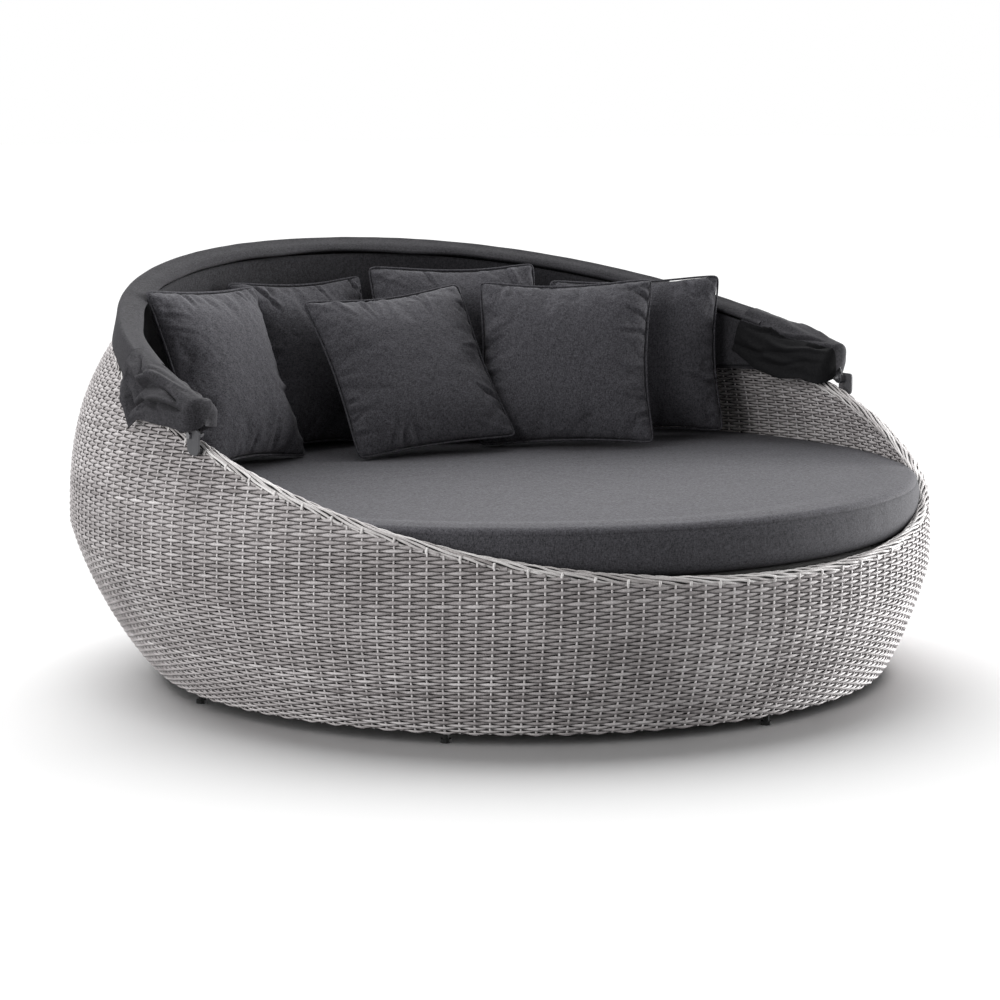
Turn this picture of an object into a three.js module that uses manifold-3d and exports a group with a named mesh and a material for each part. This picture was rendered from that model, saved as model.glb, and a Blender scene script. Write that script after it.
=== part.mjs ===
// Round outdoor daybed in woven wicker with a canopy that folds back on three bows.
// Millimetres, +Z up. The open front faces -Y and the origin is on the floor under the centre.

import * as THREE from 'three';
import { mergeVertices } from 'three/addons/utils/BufferGeometryUtils.js';
import Module from 'manifold-3d';

const wasm = await Module();
wasm.setup();

// Woven wall: a bulging bowl that is lower at the front than at the rear
const bedRadius = 1000;
const baseTuck = 162;
const rearBaseTuck = 97;
const bellyHeight = 323;
const bellyRise = 78;
const wallReach = 692;
const baseShift = 18;
const weaveLift = 20;
const lowerCurveShare = 1.26;
const upperCurveShare = 2.51;
const skinThickness = 4.5;
const wallThickness = 25.6;
const weaveRelief = 3;
const seatGap = 0.4;

// Upper edge of the wall: low at the front, straight and sloping where the canopy rests on it
const frontRimHeight = 346;
const frontRimInset = 3;
const pivotRimHeight = 603;
const frontRimSlopeShare = 0.212;
const sideRimSlopeShare = 0.34;
const foldSlopeShare = 0.28;
const rimRadius = 14;
const rimTubeRadius = 9.6;

// Aluminium frame inside the wall
const ribCount = 8;
const ribRadius = 7;
const ringHalfHeight = 9;
const middleRingHeight = 190;
const seatRingGap = 3.8;
const deckTop = 347;
const deckThickness = 10;
const deckEdgeGap = 4;
const innerSkinBottom = 290;
const railCount = 3;
const railSpacing = 420;
const railWidth = 40;
const railHeight = 20;
const railEndGap = 3;
const legRadius = 16;
const footPadRadius = 12;
const footPadHeight = 8;
const footStemRadius = 7;
const centrePadRadius = 22;

// Mattress
const mattressEdgeGap = 2.5;
const mattressForward = 5;
const mattressThickness = 100;
const mattressCrown = 7;

// Scatter cushions
const cushionHalfSize = 220;
const cushionHalfThickness = 66;

// Canopy bows and their pivots
const pivotForward = 170;
const pivotRise = 15;
const bowOverhang = 10;
const bowRearInset = 46;
const bowCurveShare = 2.13;
const bowTubeRadius = 11;
const bowSides = 8;
const bowPitch = 30;
const bowStart = 45;
const plateThickness = 4;
const platePitch = 5;
const plateOutset = 3;
const plateHalfWidth = 7;
const plateLength = 30;
const eyeRadius = 12;
const boltRadius = 4;
const boltHeadRadius = 7.5;
const boltHeadHeight = 5;
const nutHeight = 7;
const bracketFront = 32;
const bracketBack = 12;
const bracketDrop = 41;
const bracketTop = 13;
const bracketCorner = 10;
const stubRadius = 6;
const stubForward = 12;
const stubDepth = 8;

// Canopy fabric, folded back
const hoodThickness = 3;
const hoodGap = 2.5;
const hoodFlap = 46;
const hoodLip = 12;
const bunchEnd = 290;
const bunchNose = 24;
const bunchThickness = 8;
const curtainThickness = 4;
const curtainPitch = 7;
const curtainGap = 0.9;
const curtainFold = 4;
const curtainShoulder = 42;
const curtainDropShare = 0.29;

const turn = 2 * Math.PI;
const degree = Math.PI / 180;
const ringSteps = 48;
const wallRows = 9;
const rowCrowdingShare = 1.35;
const braidSteps = 5;
const braidWrap = 15 * degree;
const pivotY = -pivotForward;
const rimFrontY = frontRimInset - bedRadius;
const baseRadius = bedRadius - baseTuck;
const foldAngle = Math.atan(foldSlopeShare);

const material = (name, colour, roughness, metalness = 0) => {
  const made = new THREE.MeshStandardMaterial({ color: colour, roughness, metalness });
  made.name = name;
  return made;
};
const wicker = () => material('wicker', 0xb9b4ae, 0.55);
const frameMetal = () => material('frame', 0x8b8d8f, 0.45, 0.8);
const steel = () => material('steel', 0xb4b6b8, 0.3, 1);
const plastic = () => material('plastic', 0x26272a, 0.6);
const fabric = () => material('fabric', 0x4b4b50, 0.95);

const daybed = new THREE.Group();

function addPart(name, geometry, finish) {
  const mesh = new THREE.Mesh(geometry, finish());
  mesh.name = name;
  daybed.add(mesh);
  return mesh;
}

// Solids and lofts

// Joins equal points, and turns the faces out if the enclosed volume comes out negative.
function closed(geometry) {
  const bare = geometry.index ? geometry.clone() : geometry;
  bare.deleteAttribute('normal');
  bare.deleteAttribute('uv');
  const body = mergeVertices(bare);
  const place = body.attributes.position;
  const index = Array.from(body.index.array);
  const corner = (i) => new THREE.Vector3().fromBufferAttribute(place, index[i]);
  let volume = 0;
  for (let i = 0; i < index.length; i += 3) {
    volume += corner(i).dot(corner(i + 1).cross(corner(i + 2)));
  }
  body.setIndex(volume < 0 ? index.reverse() : index);
  body.computeVertexNormals();
  return body;
}

function toSolid(geometry) {
  const body = closed(geometry);
  return new wasm.Manifold(new wasm.Mesh({
    numProp: 3,
    vertProperties: Float32Array.from(body.attributes.position.array),
    triVerts: Uint32Array.from(body.index.array),
  }));
}

function toGeometry(solid) {
  const mesh = solid.getMesh();
  const geometry = new THREE.BufferGeometry();
  geometry.setAttribute('position', new THREE.Float32BufferAttribute(mesh.vertProperties, 3));
  geometry.setIndex(Array.from(mesh.triVerts));
  geometry.computeVertexNormals();
  return geometry;
}

function cut(geometry, cutters) {
  return toGeometry(cutters.reduce((solid, cutter) => solid.subtract(toSolid(cutter)), toSolid(geometry)));
}

function join(geometries) {
  return toGeometry(geometries.map(toSolid).reduce((whole, piece) => whole.add(piece)));
}

// Skins a row of loops of points. An open row is capped by joining each point to its opposite.
function loft(loops, isRing) {
  const count = loops[0].length;
  const points = loops.flat();
  const index = [];
  const quad = (a, b, c, d) => index.push(a, b, c, a, c, d);
  const spans = isRing ? loops.length : loops.length - 1;
  for (let i = 0; i < spans; i += 1) {
    const here = i * count;
    const next = ((i + 1) % loops.length) * count;
    for (let j = 0; j < count; j += 1) {
      const k = (j + 1) % count;
      quad(here + j, here + k, next + k, next + j);
    }
  }
  if (!isRing) {
    const last = (loops.length - 1) * count;
    for (let j = 0; j + 1 < count / 2; j += 1) {
      quad(j, count - 1 - j, count - 2 - j, j + 1);
      quad(last + j, last + j + 1, last + count - 2 - j, last + count - 1 - j);
    }
  }
  const geometry = new THREE.BufferGeometry().setFromPoints(points);
  geometry.setIndex(index);
  return closed(geometry);
}

// A strip of cloth in section: the line is thickened to both sides.
function thicken(line, thickness) {
  const side = (sign) => line.map(([x, y], i) => {
    const [ax, ay] = line[Math.max(i - 1, 0)];
    const [bx, by] = line[Math.min(i + 1, line.length - 1)];
    const length = Math.hypot(bx - ax, by - ay);
    const half = (sign * thickness) / 2;
    return [x - (half * (by - ay)) / length, y + (half * (bx - ax)) / length];
  });
  return [...side(1), ...side(-1).reverse()];
}

function mix(from, to, share) {
  return from + (to - from) * share;
}

// A value read between the rows of a table of [place, value].
function readTable(table, place) {
  const i = table.findIndex(([p]) => p >= place);
  if (i <= 0) return table[i === 0 ? 0 : table.length - 1][1];
  const [[a, low], [b, high]] = [table[i - 1], table[i]];
  return mix(low, high, (place - a) / (b - a));
}

// Shape of the woven wall

function rimHeight(y) {
  if (y > pivotY) return pivotRimHeight + foldSlopeShare * (y - pivotY);
  const run = pivotY - rimFrontY;
  const t = Math.max(0, (y - rimFrontY) / run);
  const [t2, t3] = [t * t, t * t * t];
  return (2 * t3 - 3 * t2 + 1) * frontRimHeight + (3 * t2 - 2 * t3) * pivotRimHeight
    + (t3 - 2 * t2 + t) * run * frontRimSlopeShare + (t3 - t2) * run * sideRimSlopeShare;
}

function wallRadius(azimuth, z) {
  const belly = bellyHeight + bellyRise * Math.sin(azimuth);
  const foot = baseRadius - rearBaseTuck * Math.sin(azimuth);
  if (z >= belly) {
    return bedRadius * (1 - ((z - belly) / wallReach) ** upperCurveShare) ** (1 / upperCurveShare);
  }
  const depth = Math.min(1, (belly - z) / (belly - weaveLift));
  return foot + (bedRadius - foot) * (1 - depth ** lowerCurveShare) ** (1 / lowerCurveShare);
}

function wallNormal(azimuth, z) {
  const step = 0.002 * bedRadius;
  const low = Math.max(z, weaveLift + step);
  const slope = (wallRadius(azimuth, low + step) - wallRadius(azimuth, low - step)) / (2 * step);
  const length = Math.hypot(1, slope);
  return [1 / length, -slope / length];
}

// A point of the wall's section, [radius, z], moved in from the outer surface by an inset.
function wallPoint(azimuth, z, inset) {
  const [nr, nz] = wallNormal(azimuth, z);
  return [wallRadius(azimuth, z) - inset * nr, z - inset * nz];
}

function place(azimuth, [radius, z]) {
  const shift = baseShift * Math.max(0, 1 - z / bellyHeight);
  return new THREE.Vector3(radius * Math.cos(azimuth), radius * Math.sin(azimuth) + shift, z);
}

// Where the outer surface ends under the rim at one azimuth, with the rim tube's centre.
function rimAt(azimuth) {
  let radius = bedRadius;
  for (let i = 0; i < 12; i += 1) {
    radius = wallRadius(azimuth, rimHeight(radius * Math.sin(azimuth)));
  }
  const height = rimHeight(radius * Math.sin(azimuth));
  const normal = wallNormal(azimuth, height - rimRadius);
  const seam = height - rimRadius * (1 - normal[1]);
  return { seam, normal, centre: wallPoint(azimuth, seam, rimRadius) };
}

const ringAngles = Array.from({ length: ringSteps }, (_, i) => (turn * i) / ringSteps - turn / 4);

function ringSolid(sectionAt) {
  return loft(ringAngles.map((a, i) => sectionAt(a, i).map((point) => place(a, point))), true);
}

function tubeSection([radius, z], halfHeight, sides = 6) {
  const reach = halfHeight / Math.cos(Math.PI / sides);
  return Array.from({ length: sides }, (_, i) => {
    const a = (turn * i) / sides;
    return [radius + reach * Math.cos(a), z + reach * Math.sin(a)];
  });
}

// Rows of a skin, closer together near the bottom, where the wall curves most.
function rowHeights(bottom, top, rows) {
  return Array.from({ length: rows + 1 }, (_, i) => mix(bottom, top, (i / rows) ** rowCrowdingShare));
}

function outerSkinTop(azimuth) {
  const { seam, normal } = rimAt(azimuth);
  return seam - 0.32 * rimRadius * normal[0];
}

// The weave in coarse relief: between two grooves a band of strands passes outside one upright and
// inside the next, and the band above it does the opposite.
function weaveInset(station, row) {
  if (row === 0 || row === 2 * wallRows) return 0;
  if (row % 2 === 0) return weaveRelief;
  return (station + (row - 1) / 2) % 2 === 0 ? 0 : weaveRelief / 2;
}

function outerSkin() {
  return ringSolid((a, station) => {
    const top = outerSkinTop(a);
    const outer = rowHeights(weaveLift, top, 2 * wallRows);
    return [
      ...outer.map((z, row) => wallPoint(a, z, weaveInset(station, row))),
      ...rowHeights(weaveLift, top, wallRows).reverse().map((z) => wallPoint(a, z, skinThickness)),
    ];
  });
}

function innerSkin() {
  const inset = wallThickness - skinThickness;
  return ringSolid((a) => {
    const { seam, normal } = rimAt(a);
    const top = seam - (0.72 * rimTubeRadius + seatGap) * normal[0];
    const rows = rowHeights(weaveLift, outerSkinTop(a), wallRows);
    const heights = rows.map((z, i) => Math.min(
      Math.max(z, innerSkinBottom + i * seatGap),
      top - (wallRows - i) * seatGap,
    ));
    heights[wallRows] = top;
    return [
      ...heights.map((z) => wallPoint(a, z, inset)),
      ...[...heights].reverse().map((z) => wallPoint(a, z, wallThickness)),
    ];
  });
}

// The border that wraps the rim tube, open underneath where the wall's skins come up.
function rimBraid() {
  return ringSolid((a) => {
    const { normal, centre } = rimAt(a);
    const lean = Math.atan2(normal[1], normal[0]);
    const arc = (radius) => Array.from({ length: braidSteps + 1 }, (_, i) => {
      const angle = lean + mix(-braidWrap, turn / 2 + braidWrap, i / braidSteps);
      return [centre[0] + radius * Math.cos(angle), centre[1] + radius * Math.sin(angle)];
    });
    const halfStep = (turn / 4 + braidWrap) / braidSteps;
    return [...arc(rimRadius), ...arc(rimTubeRadius / Math.cos(halfStep) + seatGap).reverse()];
  });
}

function rimTube() {
  return ringSolid((a) => tubeSection(rimAt(a).centre, rimTubeRadius * Math.cos(Math.PI / 6)));
}

// Frame inside the wall

const ribFlat = ribRadius * Math.cos(Math.PI / 6);
const ribInset = skinThickness + 2 * seatGap + ribFlat;
const ringReach = ringHalfHeight / Math.cos(Math.PI / 6);
const baseRingHeight = weaveLift + ringHalfHeight + seatGap;
const middleRingInset = ribInset + ribFlat + seatGap + ringReach;
const seatRingHeight = deckTop - deckThickness - seatGap - ringHalfHeight;
const seatRingInset = wallThickness + seatRingGap + ringReach;

// A point at a given height whose distance from the wall's slanting face is the inset.
function levelPoint(azimuth, z, inset) {
  return [wallRadius(azimuth, z) - inset / wallNormal(azimuth, z)[0], z];
}

// The base ring clears the skin over its whole height, whichever way the wall leans.
function baseRingPoint(azimuth) {
  const inside = Math.min(...[weaveLift, baseRingHeight + ringHalfHeight].map((z) => wallRadius(azimuth, z)));
  return [inside - ringReach - skinThickness - seatGap, baseRingHeight];
}

// A rib follows the skin's own rows, from the base ring up to the rim tube.
function rib(azimuth) {
  const { seam, normal } = rimAt(azimuth);
  const top = seam - (rimTubeRadius + 6 * seatGap) * normal[0] - ribInset * normal[1];
  const across = new THREE.Vector3(-Math.sin(azimuth), Math.cos(azimuth), 0);
  const path = rowHeights(weaveLift, outerSkinTop(azimuth), wallRows).slice(1)
    .map((z) => wallPoint(azimuth, z, ribInset));
  const [[r, z], [endR, endZ]] = path.slice(-2);
  path[path.length - 1] = [mix(r, endR, (top - z) / (endZ - z)), top];
  const ring = baseRingPoint(azimuth);
  const rise = Math.atan2(path[0][1] - ring[1], path[0][0] - ring[0]);
  const corner = turn / 6;
  const seat = ringReach * Math.cos(rise - Math.round(rise / corner) * corner) + seatGap;
  path.unshift([ring[0] + seat * Math.cos(rise), ring[1] + seat * Math.sin(rise)]);
  const centres = path.map((point) => place(azimuth, point));
  return loft(centres.map((centre, i) => {
    const along = centres[Math.min(i + 1, path.length - 1)].clone()
      .sub(centres[Math.max(i - 1, 0)]).normalize();
    const outward = new THREE.Vector3().crossVectors(across, along);
    return Array.from({ length: 6 }, (_, j) => {
      const angle = (turn * (j + 0.5)) / 6;
      return centre.clone()
        .addScaledVector(outward, ribRadius * Math.cos(angle))
        .addScaledVector(across, ribRadius * Math.sin(angle));
    });
  }), false);
}

function deck() {
  const outline = new THREE.Shape(ringAngles.map((a) => {
    const radius = levelPoint(a, deckTop - deckThickness, 2 * rimRadius + deckEdgeGap)[0];
    return new THREE.Vector2(radius * Math.cos(a), radius * Math.sin(a));
  }));
  const board = new THREE.ExtrudeGeometry(outline, { depth: deckThickness, bevelEnabled: false });
  board.translate(0, 0, deckTop - deckThickness);
  return closed(board);
}

function crossRail(y) {
  const edge = Math.abs(y) + railWidth / 2;
  const ringInner = Math.min(...[-1, 1].map((side) => {
    const azimuth = side * Math.asin(edge / bedRadius);
    return levelPoint(azimuth, seatRingHeight, seatRingInset)[0] - ringReach;
  }));
  const halfLength = Math.sqrt(ringInner ** 2 - edge ** 2) - railEndGap;
  const rail = new THREE.BoxGeometry(2 * halfLength, railWidth, railHeight);
  rail.translate(0, y, deckTop - deckThickness - seatGap - railHeight / 2);
  return closed(rail);
}

function turned(profile, sides) {
  return closed(new THREE.LatheGeometry(profile.map(([r, z]) => new THREE.Vector2(r, z)), sides)
    .rotateX(Math.PI / 2));
}

function foot(centre, padRadius) {
  const top = baseRingHeight - ringHalfHeight - seatGap;
  const glide = turned([
    [0, 0], [padRadius, 0], [padRadius, footPadHeight],
    [footStemRadius, footPadHeight], [footStemRadius, top], [0, top],
  ], 10);
  return glide.translate(centre.x, centre.y, 0);
}

function centreLeg() {
  const bottom = baseRingHeight - ringHalfHeight;
  const top = deckTop - deckThickness - railHeight - 2 * seatGap;
  return turned([[0, bottom], [legRadius, bottom], [legRadius, top], [0, top]], 12);
}

// Soft seat parts

const mattressTop = deckTop + seatGap + mattressThickness + mattressCrown;

// How far the well reaches from the mattress's centre, where the skin or the border comes closest.
function narrowestWell() {
  const levels = [deckTop, mix(deckTop, mattressTop, 0.5), mattressTop];
  return Math.min(...ringAngles.flatMap((a) => {
    const { seam, centre } = rimAt(a);
    const skin = levels.filter((z) => z < seam).map((z) => levelPoint(a, z, wallThickness)[0]);
    const isLevel = centre[1] + rimRadius > deckTop && centre[1] - rimRadius < mattressTop;
    const border = isLevel ? [centre[0] - rimRadius] : [];
    return [...skin, ...border].map((radius) =>
      Math.hypot(radius * Math.cos(a), radius * Math.sin(a) + mattressForward));
  }));
}

const mattressRadius = narrowestWell() - mattressEdgeGap;

function mattress() {
  const [r, t] = [mattressRadius, mattressThickness];
  const edgeShares = [[0.985, 0], [0.995, 0.05], [0.998, 0.2], [1, 0.5], [0.998, 0.8], [0.994, 0.94],
    [0.984, 1]];
  const pad = turned([
    [0, 0],
    ...edgeShares.map(([across, up]) => [across * r, up * t]),
    [0.92 * r, t + 0.6 * mattressCrown],
    [0.8 * r, t + mattressCrown],
    [0, t + mattressCrown],
  ], ringSteps);
  return pad.translate(0, -mattressForward, deckTop + seatGap);
}

// A filled square cushion: two crowned faces meet in a seam that draws in between the corners.
function cushion(tall) {
  const cells = 8;
  const points = [];
  const index = [];
  const drawInShare = 0.075;
  const fillPower = 0.42;
  for (const face of [1, -1]) {
    for (let i = 0; i <= cells; i += 1) {
      for (let j = 0; j <= cells; j += 1) {
        const u = Math.sin(((2 * i) / cells - 1) * (turn / 4));
        const v = Math.sin(((2 * j) / cells - 1) * (turn / 4));
        const fill = Math.max(0, (1 - u * u) * (1 - v * v)) ** fillPower;
        points.push(new THREE.Vector3(
          cushionHalfSize * u * (1 - drawInShare * (1 - v * v)),
          face * cushionHalfThickness * fill,
          tall * cushionHalfSize * v * (1 - drawInShare * (1 - u * u)),
        ));
      }
    }
    const start = face > 0 ? 0 : (cells + 1) ** 2;
    for (let i = 0; i < cells; i += 1) {
      for (let j = 0; j < cells; j += 1) {
        const a = start + i * (cells + 1) + j;
        const ring = [a, a + 1, a + cells + 2, a + cells + 1];
        const [p, q, r, s] = face > 0 ? ring : [...ring].reverse();
        index.push(p, q, r, p, r, s);
      }
    }
  }
  const geometry = new THREE.BufferGeometry().setFromPoints(points);
  geometry.setIndex(index);
  return closed(geometry);
}

// Canopy geometry: hoops in parallel sloping planes, stacked on the rear of the rim

const alongFold = new THREE.Vector3(0, Math.cos(foldAngle), Math.sin(foldAngle));
const upFromFold = new THREE.Vector3(0, -Math.sin(foldAngle), Math.cos(foldAngle));
const pivotAzimuth = Math.asin(pivotY / bedRadius);
const rimSideX = wallRadius(pivotAzimuth, pivotRimHeight) * Math.cos(pivotAzimuth);
const bowHalfWidth = rimSideX + bowOverhang;
const rimRearY = (() => {
  const { seam } = rimAt(turn / 4);
  return wallRadius(turn / 4, seam);
})();
const bowReach = (rimRearY - bowRearInset - pivotY) / Math.cos(foldAngle);
const pivotCentre = new THREE.Vector3(0, pivotY, pivotRimHeight + pivotRise);
const firstBowLift = bowTubeRadius + seatGap - pivotRise * Math.cos(foldAngle);
const bowLift = (level) => firstBowLift + level * bowPitch;

function foldPoint(x, s, n) {
  return pivotCentre.clone().add(new THREE.Vector3(x, 0, 0))
    .addScaledVector(alongFold, s).addScaledVector(upFromFold, n);
}

// The angle round the hoop, from the +X end, at which the hoop lies a distance behind the pivots.
const hoopAngle = (behind) => Math.asin((behind / bowReach) ** (bowCurveShare / 2));

function hoopXS(angle) {
  const bend = (value, size) => size * Math.sign(value) * Math.abs(value) ** (2 / bowCurveShare);
  return [bend(Math.cos(angle), bowHalfWidth), bend(Math.sin(angle), bowReach)];
}

// A place on a hoop with its outward direction in the hoop's plane.
function hoopFrame(angle, lift) {
  const [x, s] = hoopXS(angle);
  const [ax, as] = hoopXS(angle - degree);
  const [bx, bs] = hoopXS(angle + degree);
  const outward = foldPoint(bs - as, ax - bx, 0).sub(pivotCentre).normalize();
  return { centre: foldPoint(x, s, lift), outward, behind: s };
}

class BowCurve extends THREE.Curve {
  constructor(lift) {
    super();
    this.lift = lift;
  }

  getPoint(t, target = new THREE.Vector3()) {
    const start = hoopAngle(bowStart);
    const [x, s] = hoopXS(mix(start, Math.PI - start, t));
    return target.copy(foldPoint(x, s, this.lift));
  }
}

// Flat outlines are drawn as [s, n] and stand in planes of constant x.
function standUp(geometry, x) {
  const frame = new THREE.Matrix4().makeBasis(alongFold, upFromFold, new THREE.Vector3(1, 0, 0));
  frame.setPosition(pivotCentre.x + x, pivotCentre.y, pivotCentre.z);
  return geometry.applyMatrix4(frame);
}

function flatBar([ax, ay], [bx, by], halfWidth, thickness) {
  const bar = new THREE.BoxGeometry(Math.hypot(bx - ax, by - ay), 2 * halfWidth, thickness);
  bar.rotateZ(Math.atan2(by - ay, bx - ax));
  return bar.translate((ax + bx) / 2, (ay + by) / 2, thickness / 2);
}

function disc(radius, thickness, sides, [x, y] = [0, 0]) {
  const round = new THREE.CylinderGeometry(radius, radius, thickness, sides);
  return round.rotateX(Math.PI / 2).translate(x, y, thickness / 2);
}

const bracketX = bowHalfWidth + plateOutset + platePitch - plateThickness / 2;
const plateX = (level) => bracketX - platePitch * (3 - level);

function mirrored(geometry, side) {
  return side > 0 ? closed(geometry) : closed(geometry.scale(-1, 1, 1));
}

function endPlate(level, side) {
  const corner = [bowStart, bowLift(level)];
  const tip = [bowStart + plateLength, bowLift(level)];
  const plate = cut(join([
    disc(eyeRadius, plateThickness, 16),
    flatBar([0, 0], corner, plateHalfWidth, plateThickness),
    disc(plateHalfWidth, plateThickness, 12, corner),
    flatBar(corner, tip, plateHalfWidth, plateThickness),
  ]), [boltHole()]);
  return mirrored(standUp(plate, plateX(level)), side);
}

function boltHole() {
  return disc(boltRadius + seatGap, 3 * plateThickness, 12).translate(0, 0, -plateThickness);
}

function bow(level) {
  const section = new THREE.Shape(Array.from({ length: bowSides }, (_, i) => {
    const angle = (turn * (i + 0.5)) / bowSides;
    return new THREE.Vector2(bowTubeRadius * Math.cos(angle), bowTubeRadius * Math.sin(angle));
  }));
  const tube = new THREE.ExtrudeGeometry(section, {
    steps: 32, bevelEnabled: false, extrudePath: new BowCurve(bowLift(level)),
  });
  const slots = [1, -1].map((side) => {
    const length = 2 * plateLength + 2 * seatGap;
    const slot = new THREE.BoxGeometry(length, 3 * bowTubeRadius, plateThickness + 2 * seatGap);
    slot.translate(bowStart, bowLift(level), plateThickness / 2);
    return mirrored(standUp(slot, plateX(level)), side);
  });
  return cut(tube, slots);
}

// The bracket's stub goes through the border into the rim tube.
const stubPlace = (() => {
  const y = pivotY - stubForward;
  let azimuth = Math.asin(y / bedRadius);
  for (let i = 0; i < 8; i += 1) azimuth = Math.asin(y / rimAt(azimuth).centre[0]);
  const { centre } = rimAt(azimuth);
  return new THREE.Vector3(centre[0] * Math.cos(azimuth), y, centre[1]);
})();

function stub(side, grow) {
  const inner = stubPlace.x + rimTubeRadius - stubDepth - grow;
  const outer = bracketX + plateThickness / 2;
  const rod = new THREE.CylinderGeometry(stubRadius + grow, stubRadius + grow, outer - inner, 10);
  rod.rotateZ(Math.PI / 2).translate((inner + outer) / 2, stubPlace.y, stubPlace.z);
  return mirrored(rod, side);
}

function bracket(side) {
  const [front, back, top, low, r] = [-bracketFront, bracketBack, bracketTop, -bracketDrop, bracketCorner];
  const outline = new THREE.Shape();
  outline.moveTo(front + 1.6 * r, low);
  outline.quadraticCurveTo(back, low, back, low + 1.6 * r);
  outline.lineTo(back, top - r);
  outline.quadraticCurveTo(back, top, back - r, top);
  outline.lineTo(front + r, top);
  outline.quadraticCurveTo(front, top, front, top - r);
  outline.lineTo(front, low + 1.6 * r);
  outline.quadraticCurveTo(front, low, front + 1.6 * r, low);
  const flat = new THREE.ExtrudeGeometry(outline, {
    depth: plateThickness, bevelEnabled: false, curveSegments: 4,
  });
  const frame = new THREE.Matrix4().makeBasis(
    new THREE.Vector3(0, 1, 0), new THREE.Vector3(0, 0, 1), new THREE.Vector3(1, 0, 0),
  ).setPosition(bracketX, pivotCentre.y, pivotCentre.z);
  const plate = mirrored(flat.applyMatrix4(frame), side);
  const hole = mirrored(standUp(boltHole(), bracketX), side);
  return cut(join([plate, stub(side, 0)]), [hole]);
}

function pivotBolt(side) {
  const headX = bracketX + plateThickness + seatGap;
  const tipX = plateX(0) - nutHeight - 2 * platePitch + plateThickness;
  const head = disc(boltHeadRadius, boltHeadHeight, 6).translate(0, 0, headX - tipX);
  const shank = disc(boltRadius, headX - tipX + boltHeadHeight / 2, 10);
  return mirrored(standUp(join([shank, head]), tipX), side);
}

function pivotNut(side) {
  const nut = cut(disc(boltHeadRadius, nutHeight, 6), [boltHole()]);
  return mirrored(standUp(nut, plateX(0) - seatGap - nutHeight), side);
}

// Canopy fabric

function hoopStrip(level, from, to, steps, sectionAt, thickness) {
  const loops = Array.from({ length: steps + 1 }, (_, i) => {
    const { centre, outward, behind } = hoopFrame(mix(from, to, i / steps), bowLift(level));
    return thicken(sectionAt(behind, i), thickness).map(([o, n]) =>
      centre.clone().addScaledVector(outward, o).addScaledVector(upFromFold, n));
  });
  return loft(loops, false);
}

// Sleeve over the uppermost bow with a flap that hangs outside the folded stack.
function hood() {
  const r = bowTubeRadius + hoodGap + hoodThickness / 2;
  const start = hoopAngle(bunchEnd);
  const over = [0, 45, 90, 135, 180].map((a) => [r * Math.cos(a * degree), r * Math.sin(a * degree)]);
  return hoopStrip(2, start, Math.PI - start, 32, (behind, i) => [
    [r + hoodThickness * (i % 2), -hoodFlap],
    [r + hoodThickness / 2, -hoodFlap / 2],
    ...over,
    [-r, -hoodLip],
  ], hoodThickness);
}

// A panel hangs as a curtain from its bow, inside the rear wall, with its main folds.
function curtain(level) {
  const hoodReach = hoodGap + hoodThickness + 2 * seatGap + curtainThickness / 2;
  const inset = bowTubeRadius + (level === 2 ? hoodReach : curtainGap + curtainThickness / 2);
  const start = hoopAngle(bunchEnd + curtainShoulder);
  const steps = 28;
  const loops = Array.from({ length: steps + 1 }, (_, i) => {
    const angle = mix(start, Math.PI - start, i / steps);
    const { centre, outward, behind } = hoopFrame(angle, bowLift(level));
    const drop = curtainShoulder + curtainDropShare * behind;
    const fold = curtainFold * (i % 2);
    const azimuth = Math.atan2(centre.y, centre.x);
    const rimInside = rimAt(azimuth).centre[0] - rimRadius;
    const overRim = Math.hypot(centre.x, centre.y) - rimInside + curtainThickness;
    const deep = Math.max(bowTubeRadius + hoodReach, overRim) + level * curtainPitch;
    const shoulder = level * bowPitch + bowTubeRadius / 2;
    const line = [
      [-inset, 0],
      [-deep - fold / 2, -shoulder],
      [-deep - fold, -drop * 0.55],
      [-deep - fold, -drop],
    ];
    return thicken(line, curtainThickness).map(([o, z]) =>
      centre.clone().addScaledVector(outward, o).add(new THREE.Vector3(0, 0, z)));
  });
  return loft(loops, false);
}

// The cloth gathers over the ends of the bows and hangs over the rim on both sides.
function sideBunch(side) {
  const half = bunchThickness / 2;
  const outer = bracketX + plateThickness + boltHeadHeight + 2 * half - bowHalfWidth;
  const top = bowLift(2) + bowTubeRadius * Math.cos(turn / (2 * bowSides)) + seatGap;
  const inner = -(2 * rimRadius + bowOverhang + 2 * half);
  const hang = wallThickness * 2;
  const outerHem = [[-bunchNose, 0.35 * top], [0, 0.2 * top], [0.2 * bunchEnd, -0.4 * hang],
    [0.5 * bunchEnd, -0.95 * hang], [0.8 * bunchEnd, -1.2 * hang], [bunchEnd, -0.9 * hang]];
  const innerHem = [[-bunchNose, 0.3 * top], [0.3 * bunchEnd, -0.2 * hang], [bunchEnd, -0.9 * hang]];
  const steps = 9;
  const loops = Array.from({ length: steps + 1 }, (_, i) => {
    const s = mix(-bunchNose, bunchEnd - hoodThickness, i / steps);
    const x = s > 0 ? hoopXS(hoopAngle(s))[0] : bowHalfWidth;
    const fold = (half * (i % 2)) / 2;
    const line = [
      [outer + fold, readTable(outerHem, s)],
      [outer + 2 * fold, mix(readTable(outerHem, s), top, 0.5)],
      [outer - fold, top - half - fold],
      [outer / 2, top + half],
      [0, top + half + fold],
      [-bowTubeRadius, top + half + fold],
      [inner / 2, top + fold],
      [inner, mix(readTable(innerHem, s), top, 0.6)],
      [inner - fold, readTable(innerHem, s)],
    ];
    return thicken(line, bunchThickness).map(([o, n]) => foldPoint(x + o, s, n));
  });
  return mirrored(loft(loops, false), side);
}

// Assembly

const sides = [['right', 1], ['left', -1]];
const stubHoles = sides.map(([, side]) => stub(side, seatGap));

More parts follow.
